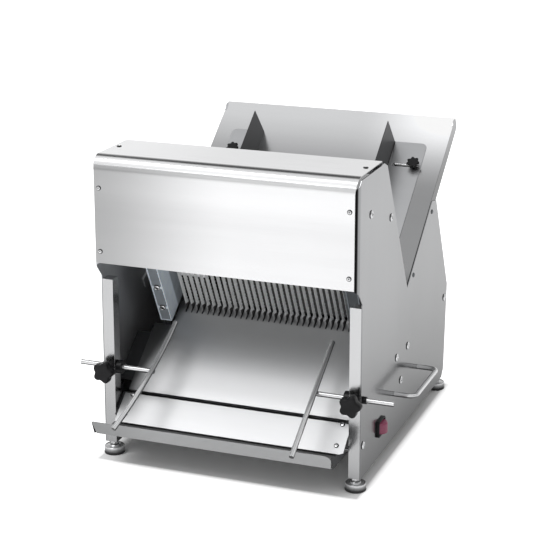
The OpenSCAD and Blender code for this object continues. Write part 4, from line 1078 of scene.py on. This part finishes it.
class SLICER_OT_blades(bpy.types.Operator):
    """Two rows of scalloped blades, one for each frame"""

    bl_idname = "slicer.blades"
    bl_label = "Blades"

    def execute(self, context):
        tree = row_tree()
        for node in ("blades_a", "blades_b"):
            rows = sorted((box_of(points) for points in islands(node)), key=lambda b: b[0].x)
            low, high = rows[0]
            copy = new_object("one_blade", self.blade(context.scene.slicer_blades, low, high))
            obj = new_object(node + "_row", bpy.data.meshes.new(node + "_row"))
            tree.apply(obj, {"Copy": copy, "Count": len(rows), "Start": (low.x, 0, 0),
                             "Step": (rows[1][0].x - low.x, 0, 0),
                             "Material": finish_named(context, SLOT_OF[node])})
            delete(copy)
            place(context, obj, [node])
        return {"FINISHED"}

    def blade(self, blades, low, high):
        """One blade in its place across the machine, from X = 0 to its thickness."""
        size, centre = high - low, (low + high) / 2
        cos, sin = math.cos(blades.tilt), math.sin(blades.tilt)
        blade_length = (size.z * cos - size.y * sin) / math.cos(2 * blades.tilt)
        width = (size.y * cos - size.z * sin) / math.cos(2 * blades.tilt)
        run, ahead = leaning(blades.tilt)
        middle = Vector((0, centre.y, centre.z))
        count = round(blade_length / blades.pitch) * blades.steps
        rings = []
        for i in range(count + 1):
            point = middle + run * (blade_length * (i / count - 0.5))
            scallop = blades.depth * math.sin(math.pi * (i % blades.steps) / blades.steps)
            front, back = point + ahead * (width / 2), point - ahead * (width / 2 - scallop)
            thick = Vector((size.x, 0, 0))
            rings.append((front, front + thick, back + thick / 2, back))
        return mesh_from(joined_rings(rings), "blade", 20.0)


# Shares of a head's height: its straight side, the floor of its recess and what counts as sunk
HEAD_SIDE = 0.3
RECESS_FLOOR = 0.35
SUNK_BELOW = 0.4
# Shares of a head's radius: its foot, reach of the cross and of the socket, and where each rim begins
HEAD_FOOT = 0.96
CROSS_REACH = 0.4
SOCKET_REACH = 0.5
CROSS_RIM = 0.7
SOCKET_RIM = 0.93
LEAST_SHANK = 0.3 * MM
# Levels of the facing attribute on a head: painted shade on the rim and in the recess, a painted highlight on
# the dome
RIM_LEVEL = 0.1
SUNK_LEVEL = 0.25
DOME_LEVEL = 0.7


class SLICER_OT_screws(bpy.types.Operator):
    """Pan heads with a cross and button heads with a socket, on the places of the CAD heads"""

    bl_idname = "slicer.screws"
    bl_label = "Screws and bolts"

    def execute(self, context):
        screws = context.scene.slicer_screws
        tree = heads_tree()
        hood_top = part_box("hood")[1].z
        slope = Vector(JOINTS["left_guide_knob_turn"]["axis"])

        def hood_axis(centre):
            return UP if centre.z > hood_top - screws.screw_head else Vector((0, -1, 0))

        def outwards(centre):
            return Vector((math.copysign(1, centre.x), 0, 0))

        ahead = leaning(context.scene.slicer_blades.tilt)[1]
        groups = (("hood_screws", screws.screw_head, True, hood_axis),
                  ("strip_screws", screws.screw_head, True, lambda centre: slope),
                  ("chute_screws", screws.screw_head, True, outwards),
                  ("panel_bolts", screws.bolt_head, False, outwards),
                  ("rail_bolts", screws.bolt_head, False, lambda centre: ahead))
        for node, height, cross, axis_at in groups:
            spots = [self.spot(points, axis_at, height) for points in islands(node)]
            spread = screws.spread if cross else screws.bolt_spread
            radius, depth = spots[0][2] * spread, max(spots[0][3], LEAST_SHANK)
            head = self.head(screws, radius, height, depth, cross)
            points = self.points(node, spots)
            tree.apply(points, {"Head": head, "Seed": screws.seed,
                                "Material": finish_named(context, LOOKS.get(node, SLOT_OF[node]))})
            delete(head)
            place(context, points, [node])
        return {"FINISHED"}

    def spot(self, points, axis_at, height):
        """Seat of a head: its place on the sheet, axis, radius and depth of its shank."""
        low, high = box_of(points)
        centre = (low + high) / 2
        axis = axis_at(centre)
        reach = [(p - centre).dot(axis) for p in points]
        radius = max(((p - centre) - axis * (p - centre).dot(axis)).length for p in points)
        seat = centre + axis * (max(reach) - height)
        return seat, axis, radius, max(reach) - min(reach) - height

    def points(self, node, spots):
        """A point for each head, with its axis."""
        mesh = bpy.data.meshes.new(node + "_heads")
        mesh.from_pydata([spot[0] for spot in spots], [], [])
        axes = mesh.attributes.new("axis", "FLOAT_VECTOR", "POINT")
        for item, spot in zip(axes.data, spots):
            item.vector = spot[1]
        return new_object(node + "_heads", mesh)

    def head(self, screws, radius, height, depth, cross):
        """A turned head with its recess cut in, its seat at the origin."""
        steps, sides = 7, 6
        profile = [(0, -depth), (screws.shank, -depth), (screws.shank, 0), (radius * HEAD_FOOT, 0),
                   (radius, height * HEAD_SIDE * HEAD_SIDE)]
        for i in range(steps + 1):
            rise = math.pi / 2 * i / steps
            profile.append((radius * math.cos(rise), height * (HEAD_SIDE + (1 - HEAD_SIDE) * math.sin(rise))))
        head = piece("one_head", turned(profile, 28))
        if cross:
            arm, reach = screws.cross / 2, radius * CROSS_REACH
            outline = [(arm, arm), (arm, reach), (-arm, reach), (-arm, arm), (-reach, arm), (-reach, -arm),
                       (-arm, -arm), (-arm, -reach), (arm, -reach), (arm, -arm), (reach, -arm), (reach, arm)]
        else:
            reach, turns = radius * SOCKET_REACH, [FULL_TURN * i / sides for i in range(sides)]
            outline = [(reach * math.cos(turn), reach * math.sin(turn)) for turn in turns]
        rings = [[(x, y, z) for x, y in outline] for z in (height * RECESS_FLOOR, height * 2)]
        cutter = piece("recess", joined_rings(rings))
        cut(head, cutter)
        plain_mesh(head)
        delete(cutter)
        self.tone(head.data, radius * (CROSS_RIM if cross else SOCKET_RIM), height)
        return head

    def tone(self, mesh, rim, height):
        """Painted shade on the rim and in the recess and a painted highlight on the dome, as the facing
        attribute of the finish.
        """
        def level_of(vertex):
            if math.hypot(vertex.co.x, vertex.co.y) > rim:
                return RIM_LEVEL
            return SUNK_LEVEL if vertex.co.z < height * SUNK_BELOW else DOME_LEVEL

        mark(mesh, level_of)


class SLICER_OT_bars(bpy.types.Operator):
    """Guide rods, bushes, carry handles, guide studs and cable gland"""

    bl_idname = "slicer.bars"
    bl_label = "Bars and handles"
    # The way that the painted bright line along a rod faces
    shine = Vector((0.1, -0.6, 0.8)).normalized()

    def execute(self, context):
        sheet = context.scene.slicer_sheet
        for node in ("left_bush", "right_bush", "cable_gland"):
            rounded(context, node, sheet.turned)
        mark_facing(rounded(context, "guide_studs", sheet.turned).data)
        for node in ("left_rod", "right_rod"):
            mark_shine(rounded(context, node, sheet.edge).data, self.shine)
        for node, sign in (("left_handle", -1), ("right_handle", 1)):
            bar = piece(node + "_bar", swept(self.path(sheet, node, sign), sheet.handle))
            mark_facing(bar.data)
            place(context, bar, [node])
        return {"FINISHED"}

    def path(self, sheet, node, sign):
        """Middle line of a handle: out from its panel, round two bends and back."""
        low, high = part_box(node)
        inner, outer = sorted((low.x, high.x), key=abs)
        outer -= sign * sheet.handle
        inset = (high.z - low.z) / 2
        height = (low.z + high.z) / 2
        near, far, bend = low.y + inset, high.y - inset, sheet.handle_bend
        points = [Vector((inner, near, height))]
        steps = 8
        for middle, first in ((near + bend, -1), (far - bend, 0)):
            for i in range(steps + 1):
                turn = math.pi / 2 * (first + i / steps)
                points.append(Vector((outer + sign * bend * (math.cos(turn) - 1),
                                      middle + bend * math.sin(turn), height)))
        points.append(Vector((inner, far, height)))
        return points


class SLICER_OT_knobs(bpy.types.Operator):
    """Star knobs with rounded lobes, two large and two small"""

    bl_idname = "slicer.knobs"
    bl_label = "Star knobs"

    def execute(self, context):
        knobs = context.scene.slicer_knobs
        for side in ("left", "right"):
            node = side + "_knob"
            joint = JOINTS[node + "_turn"]
            axis = Vector(joint["axis"])
            front = Vector((joint["pos_m"][0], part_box(node)[0].y, joint["pos_m"][2]))
            seat = front - axis * (knobs.height + knobs.neck)
            bm = self.star(knobs.radius, knobs.lobes, knobs.valley, knobs.neck, knobs.height,
                           knobs.neck_radius)
            self.add(context, node, stand(bm, seat, axis, knobs.turn))
            node = side + "_guide_knob"
            joint = JOINTS[node + "_turn"]
            axis = Vector(joint["axis"])
            seat = Vector(joint["pos_m"]) + axis * (knobs.seat + knobs.small_lift)
            half = (knobs.small_height - knobs.small_lift) / 2
            bm = self.star(knobs.small_radius, knobs.small_lobes, knobs.valley, half, half,
                           knobs.small_radius * knobs.small_neck)
            self.add(context, node, stand(bm, seat, axis))
            foot = pin_foot(context, side)
            pin = piece(side + "_guide_pin", self.pin(knobs, foot))
            mark_facing(pin.data)
            place(context, pin, [], "bar_chrome", BODY_OF["guide_studs"])
        return {"FINISHED"}

    def pin(self, knobs, foot):
        """A bright slide pin from the stud of a guide knob inwards, with a round head."""
        radius, inwards = knobs.pin, Vector((-math.copysign(1, foot.x), 0, 0))
        profile = [(0, 0), (radius, 0), (radius, knobs.pin_length - 3 * radius)]
        for i in range(9):
            turn = math.pi * (i / 10 + 0.2) - math.pi / 2
            profile.append((2 * radius * math.cos(turn), knobs.pin_length + 2 * radius * math.sin(turn)))
        return stand(turned(profile, 16), foot, inwards)

    def add(self, context, node, bm):
        """Puts a star in the place of its CAD node."""
        place(context, piece(node + "_star", bm, 60.0), [node])

    def star(self, radius, lobes, valley, neck, height, neck_radius):
        """A star on a neck about Z, from shares of its height, its radius and the depth of its valleys."""
        skin = ((0.0, 0.8, 0.9), (0.03, 0.9, 1.0), (0.16, 0.985, 1.0), (0.4, 1.0, 1.0), (0.72, 1.0, 1.0),
                (0.84, 0.985, 1.0), (0.94, 0.94, 1.0), (0.985, 0.86, 1.0), (1.0, 0.76, 0.95),
                (1.0, 0.5, 0.4), (1.0, 0.2, 0.0), (1.0, 0.02, 0.0))
        stem = ((0.0, 1.0), (0.5, 1.0), (0.94, 0.98), (1.0, 1.08))
        rings = [self.ring(neck_radius * share, lobes, 0, neck * rise) for rise, share in stem]
        rings += [self.ring(radius * share, lobes, valley * form, neck + height * rise)
                  for rise, share, form in skin]
        return joined_rings(rings)

    def ring(self, radius, lobes, valley, height, steps=18):
        """One ring of a star with rounded lobes and wide valleys."""
        valley_power = 1.15
        points = []
        for i in range(lobes * steps):
            turn = FULL_TURN * i / (lobes * steps)
            dip = (0.5 - 0.5 * math.cos(lobes * turn)) ** valley_power
            reach = radius * (1 - valley * dip)
            points.append((reach * math.cos(turn), reach * math.sin(turn), height))
        return points


class SLICER_OT_feet(bpy.types.Operator):
    """Levelling feet: rubber pad, plated cap, hex nut and stud"""

    bl_idname = "slicer.feet"
    bl_label = "Levelling feet"

    def execute(self, context):
        feet = context.scene.slicer_feet
        for node in ("foot_front_left", "foot_front_right", "foot_rear_left", "foot_rear_right"):
            low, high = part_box(node)
            middle = (low + high) / 2
            seat = Vector((middle.x, middle.y, low.z))
            cap = piece(node + "_cap", stand(self.cap(feet, high.z - low.z), seat, UP))
            mark_facing(cap.data)
            place(context, cap, [node])
            pad = piece(node + "_pad", stand(self.pad(feet), seat, UP))
            place(context, pad, [], "belt_rubber", BODY_OF[node])
            nut = piece(node + "_nut", stand(self.nut(feet), seat, UP), 25.0)
            mark_facing(nut.data)
            place(context, nut, [], "foot_chrome", BODY_OF[node])
        return {"FINISHED"}

    def cap(self, feet, top):
        """Turned cap with a rounded rim, a shallow dish round its boss, and the stud."""
        inner, foot, steps = feet.radius * 0.97, feet.pad * 0.8, 4
        edge, boss = 1.4 * MM, feet.nut_radius + 1.5 * MM
        soft, chamfer = 0.5 * MM, 0.6 * MM
        profile = [(0, foot), (inner, foot), (inner, feet.rim - edge)]
        for i in range(1, steps + 1):
            turn = math.pi / 2 * i / steps
            profile.append((inner - edge * (1 - math.cos(turn)), feet.rim - edge * (1 - math.sin(turn))))
        profile += [(inner - 2.5 * MM, feet.rim - 0.3 * MM), (inner - 3.5 * MM, feet.rim - MM),
                    (boss + 2 * MM, feet.rim - soft), (boss, feet.rim), (boss, feet.shoulder - soft),
                    (boss - soft, feet.shoulder), (feet.stud, feet.shoulder), (feet.stud, top - chamfer),
                    (feet.stud - chamfer, top), (0, top)]
        return turned(profile)

    def pad(self, feet):
        """Turned rubber pad with a rounded low edge."""
        radius, soft = feet.radius, 0.5 * MM
        return turned([(0, 0), (radius - 1.6 * MM, 0), (radius - soft, soft), (radius, 1.4 * MM),
                       (radius, feet.pad - 0.6 * MM), (radius - soft, feet.pad),
                       (radius - 2 * MM, feet.pad), (0, feet.pad)])

    def nut(self, feet):
        """A hex nut with turned corners, low on its chamfers."""
        low, high = feet.nut_low, feet.nut_low + feet.nut
        flat = feet.nut_radius * math.cos(math.pi / 6)
        chamfer = 0.8 * MM
        rings = [self.hexagon(flat, flat, low), self.hexagon(feet.nut_radius, flat, low + chamfer),
                 self.hexagon(feet.nut_radius, flat, high - chamfer), self.hexagon(flat, flat, high)]
        return joined_rings(rings)

    def hexagon(self, reach, flat, height, steps=6):
        """A ring that is a hexagon held within a round of the given reach."""
        points = []
        for i in range(6 * steps):
            turn = FULL_TURN * i / (6 * steps)
            side = flat / math.cos((turn % (FULL_TURN / 6)) - FULL_TURN / 12)
            radius = min(side, reach)
            points.append((radius * math.cos(turn), radius * math.sin(turn), height))
        return points


class SLICER_OT_switch(bpy.types.Operator):
    """Power switch: black bezel with round corners and a crowned red rocker"""

    bl_idname = "slicer.switch"
    bl_label = "Power switch"

    def execute(self, context):
        switch = context.scene.slicer_switch
        place(context, piece("switch_bezel_frame", self.bezel(switch)), ["switch_bezel"])
        place(context, piece("switch_rocker_crown", self.rocker(switch)), ["switch_rocker"])
        return {"FINISHED"}

    def outline(self, x, middle, half_y, half_z, corner, steps=6):
        """A rectangle with round corners at one X."""
        corner = min(corner, half_y, half_z)
        points = []
        for quarter, (sy, sz) in enumerate(((1, 1), (-1, 1), (-1, -1), (1, -1))):
            for i in range(steps + 1):
                turn = math.pi / 2 * (quarter + i / steps)
                points.append((x, middle.y + sy * (half_y - corner) + corner * math.cos(turn),
                               middle.z + sz * (half_z - corner) + corner * math.sin(turn)))
        return points

    def bezel(self, switch):
        """Frame with a rounded front and a well for the rocker."""
        low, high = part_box("switch_bezel")
        middle, half = (low + high) / 2, (high - low) / 2
        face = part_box("right_panel")[1].x
        hole_y, hole_z = half.y - switch.wall, half.z - switch.wall
        skin = [(low.x, hole_y + MM, hole_z + MM, MM), (face, hole_y + MM, hole_z + MM, MM),
                (face, half.y, half.z, switch.corner), (high.x - switch.lip, half.y, half.z, switch.corner)]
        steps = 4
        for i in range(1, steps + 1):
            turn = math.pi / 2 * i / steps
            inset = switch.lip * (1 - math.cos(turn))
            skin.append((high.x - switch.lip * (1 - math.sin(turn)), half.y - inset, half.z - inset,
                         switch.corner))
        mouth, well = 2 * MM, 0.4 * MM
        skin += [(high.x, hole_y + mouth, hole_z + mouth, switch.rocker_corner),
                 (high.x - MM, hole_y + well, hole_z + well, switch.rocker_corner),
                 (face - switch.well, hole_y + well, hole_z + well, switch.rocker_corner)]
        return joined_rings([self.outline(x, middle, y, z, corner) for x, y, z, corner in skin])

    def rocker(self, switch):
        """Rocker with a round crown across the switch, drawn in a little at its ends."""
        low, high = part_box("switch_rocker")
        middle, half = (low + high) / 2, (high - low) / 2
        pivot = JOINTS["switch_tilt"]["pos_m"][0]
        rise = high.x - pivot + switch.crown
        frame_low, frame_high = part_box("switch_bezel")
        half.y = (frame_high.y - frame_low.y) / 2 - switch.wall - switch.gap
        half.z = (frame_high.z - frame_low.z) / 2 - switch.wall - switch.gap
        skin = [(low.x, half.y, half.z, MM), (pivot, half.y, half.z, MM)]
        steps, drawn_in, least = 10, 0.3, 0.3 * MM
        for i in range(1, steps + 1):
            turn = math.pi / 2 * i / steps
            soft = 1 - drawn_in * (i / steps) ** 4
            skin.append((pivot + rise * math.sin(turn), max(half.y * math.cos(turn), least),
                         half.z * soft, switch.rocker_corner))
        return joined_rings([self.outline(x, middle, y, z, corner) for x, y, z, corner in skin])


# The camera as fitted to the photo, the soft box and the floor
CAMERA_PLACE = (1.1243, -2.9873, 1.3165)
CAMERA_DOWN = 14.52
CAMERA_ROUND = 20.669
CAMERA_SHIFT = -0.15
SENSOR_WIDTH = 36.0
KEY_PLACE = (-0.9, -1.5, 2.5)
KEY_SIZE = 1.6
FLOOR_REACH = 40.0
FLOOR_DROP = 0.2 * MM
# Most glow of the floor and its fall towards the machine for each metre, as seen and in mirror images: the
# glow is painted light, which whitens the floor outside a box round the machine, so the machine's real shadow
# under it stops at that box's edge
SEEN_GLOW = (0.95, -90.0)
MIRRORED_GLOW = (0.48, -14.0)


class SLICER_OT_stage(bpy.types.Operator):
    """White floor, soft studio lights and the camera"""

    bl_idname = "slicer.stage"
    bl_label = "Studio"

    def execute(self, context):
        stage = context.scene.slicer_stage
        self.floor(stage)
        self.world(context.scene, stage)
        self.lamp("key_light", KEY_PLACE, KEY_SIZE, stage.key)
        self.camera(context.scene, stage)
        context.scene.view_settings.view_transform = "Standard"
        return {"FINISHED"}

    def floor(self, stage):
        """A wide matt floor that glows white round the machine."""
        reach = FLOOR_REACH
        mesh = bpy.data.meshes.new("floor")
        corners = [(-reach, -reach), (reach, -reach), (reach, reach), (-reach, reach)]
        mesh.from_pydata([(x, y, -FLOOR_DROP) for x, y in corners], [], [(0, 1, 2, 3)])
        obj = new_object("floor", mesh)
        finish = Finish("pale_floor")
        finish.tree.nodes.remove(finish.bsdf)
        seen = finish.add("ShaderNodeLightPath")
        glossy, through = seen.outputs["Is Glossy Ray"], seen.outputs["Is Transmission Ray"]
        mirrored = finish.math("MAXIMUM", glossy, through)
        direct = finish.math("MULTIPLY", self.lift(finish, *SEEN_GLOW), seen.outputs["Is Camera Ray"])
        mirrored = finish.math("MULTIPLY", self.lift(finish, *MIRRORED_GLOW), mirrored)
        glow = finish.add("ShaderNodeEmission")
        finish.feed(glow.inputs["Strength"], finish.math("ADD", direct, mirrored))
        matt = finish.add("ShaderNodeBsdfDiffuse")
        matt.inputs["Color"].default_value = (*stage.floor, 1)
        both = finish.add("ShaderNodeAddShader")
        finish.tree.links.new(matt.outputs[0], both.inputs[0])
        finish.tree.links.new(glow.outputs[0], both.inputs[1])
        out = finish.tree.nodes["Material Output"]
        finish.tree.links.new(both.outputs[0], out.inputs["Surface"])
        mesh.materials.append(finish.material)

    def lift(self, finish, most, fall):
        """Painted glow of the floor: none below the machine, and soon full around it, which cuts the
        machine's real shadow off at a box round it.
        """
        low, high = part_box("left_panel")[0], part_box("right_panel")[1]
        half = Vector(((high.x - low.x) / 2 + MM, (high.y - low.y) / 2 - 5 * MM, 0))
        middle = (0, (low.y + high.y) / 2, 0)
        off = finish.vector("ABSOLUTE", finish.vector("SUBTRACT", finish.coords, middle))
        past = finish.vector("MAXIMUM", finish.vector("SUBTRACT", off, half), (0, 0, 0))
        far = finish.vector("LENGTH", past)
        fade = finish.math("EXPONENT", finish.math("MULTIPLY", far, fall), 0.0)
        return finish.math("MULTIPLY", finish.math("SUBTRACT", 1.0, fade), most)

    def world(self, scene, stage):
        """Soft dome: bright low down, darker above the rear and on the left, white for the camera."""
        world = bpy.data.worlds.new("studio")
        world.use_nodes = True
        scene.world = world
        nodes = Nodes(world.node_tree)
        way = nodes.add("ShaderNodeTexCoord")
        split = nodes.add("ShaderNodeSeparateXYZ")
        nodes.feed(split.inputs[0], way.outputs["Generated"])
        side, back, up = split.outputs

        def both(first, second):
            return nodes.math("MULTIPLY", nodes.span(*first), nodes.span(*second))

        dome = both((up, 0.1, 0.85, 0.45, 1.2), (side, -0.95, -0.4, 0.45, 1.0))
        band = both((back, 0.28, 0.42, 0.0, 1.0), (up, 0.5, 0.68, 0.0, 0.85))
        dome = nodes.math("MULTIPLY", dome, nodes.math("SUBTRACT", 1.0, band))
        wall = both((back, 0.5, 0.75, 0.0, 1.0), (up, 0.5, 0.32, 0.0, 0.75))
        front = both((back, -0.5, -0.8, 0.0, 1.0), (up, 0.45, 0.25, 0.0, 0.5))
        level = nodes.math("ADD", nodes.math("ADD", dome, wall), front)
        level = nodes.math("MULTIPLY", level, stage.sky)
        seen = nodes.add("ShaderNodeLightPath")
        sky = world.node_tree.nodes["Background"]
        nodes.feed(sky.inputs["Strength"], nodes.math("MAXIMUM", level, seen.outputs["Is Camera Ray"]))
        sky.inputs["Color"].default_value = (1, 1, 1, 1)

    def lamp(self, name, place_at, size, power):
        """A square soft box that looks at the middle of the machine."""
        light = bpy.data.lights.new(name, "AREA")
        light.shape = "SQUARE"
        light.size = size
        light.energy = power
        obj = bpy.data.objects.new(name, light)
        bpy.context.scene.collection.objects.link(obj)
        obj.location = place_at
        target = (CAD_LOW + CAD_HIGH) / 2
        obj.rotation_euler = (target - Vector(place_at)).to_track_quat("-Z", "Y").to_euler()

    def camera(self, scene, stage):
        """The camera at the viewing angle of the photo."""
        data = bpy.data.cameras.new("camera")
        data.lens = stage.lens
        data.sensor_width = SENSOR_WIDTH
        obj = bpy.data.objects.new("camera", data)
        scene.collection.objects.link(obj)
        data.shift_y = CAMERA_SHIFT
        obj.location = CAMERA_PLACE
        obj.rotation_euler = (math.radians(90 - CAMERA_DOWN), 0, math.radians(CAMERA_ROUND))
        scene.camera = obj


class SLICER_PT_panel(bpy.types.Panel):
    """Settings and makers of the slicer's pieces."""

    bl_idname = "SLICER_PT_panel"
    bl_label = "Bread slicer"
    bl_space_type = "VIEW_3D"
    bl_region_type = "UI"
    bl_category = "Slicer"

    def draw(self, context):
        for maker in OPERATORS:
            self.layout.operator(maker.bl_idname)
        for name, settings in SETTINGS.items():
            box = self.layout.box()
            for key in settings.__annotations__:
                box.prop(getattr(context.scene, name), key)


OPERATORS = (SLICER_OT_sheets, SLICER_OT_drive, SLICER_OT_blades, SLICER_OT_screws, SLICER_OT_bars,
             SLICER_OT_knobs, SLICER_OT_feet, SLICER_OT_switch, SLICER_OT_stage)


def register():
    for name, settings in SETTINGS.items():
        bpy.utils.register_class(settings)
        setattr(bpy.types.Scene, name, PointerProperty(type=settings))
    for maker in OPERATORS:
        bpy.utils.register_class(maker)
    bpy.utils.register_class(SLICER_PT_panel)


def unregister():
    bpy.utils.unregister_class(SLICER_PT_panel)
    for maker in reversed(OPERATORS):
        bpy.utils.unregister_class(maker)
    for name, settings in SETTINGS.items():
        delattr(bpy.types.Scene, name)
        bpy.utils.unregister_class(settings)


def main():
    register()
    for maker in OPERATORS:
        group, name = maker.bl_idname.split(".")
        getattr(getattr(bpy.ops, group), name)()


if __name__ == "__main__":
    main()
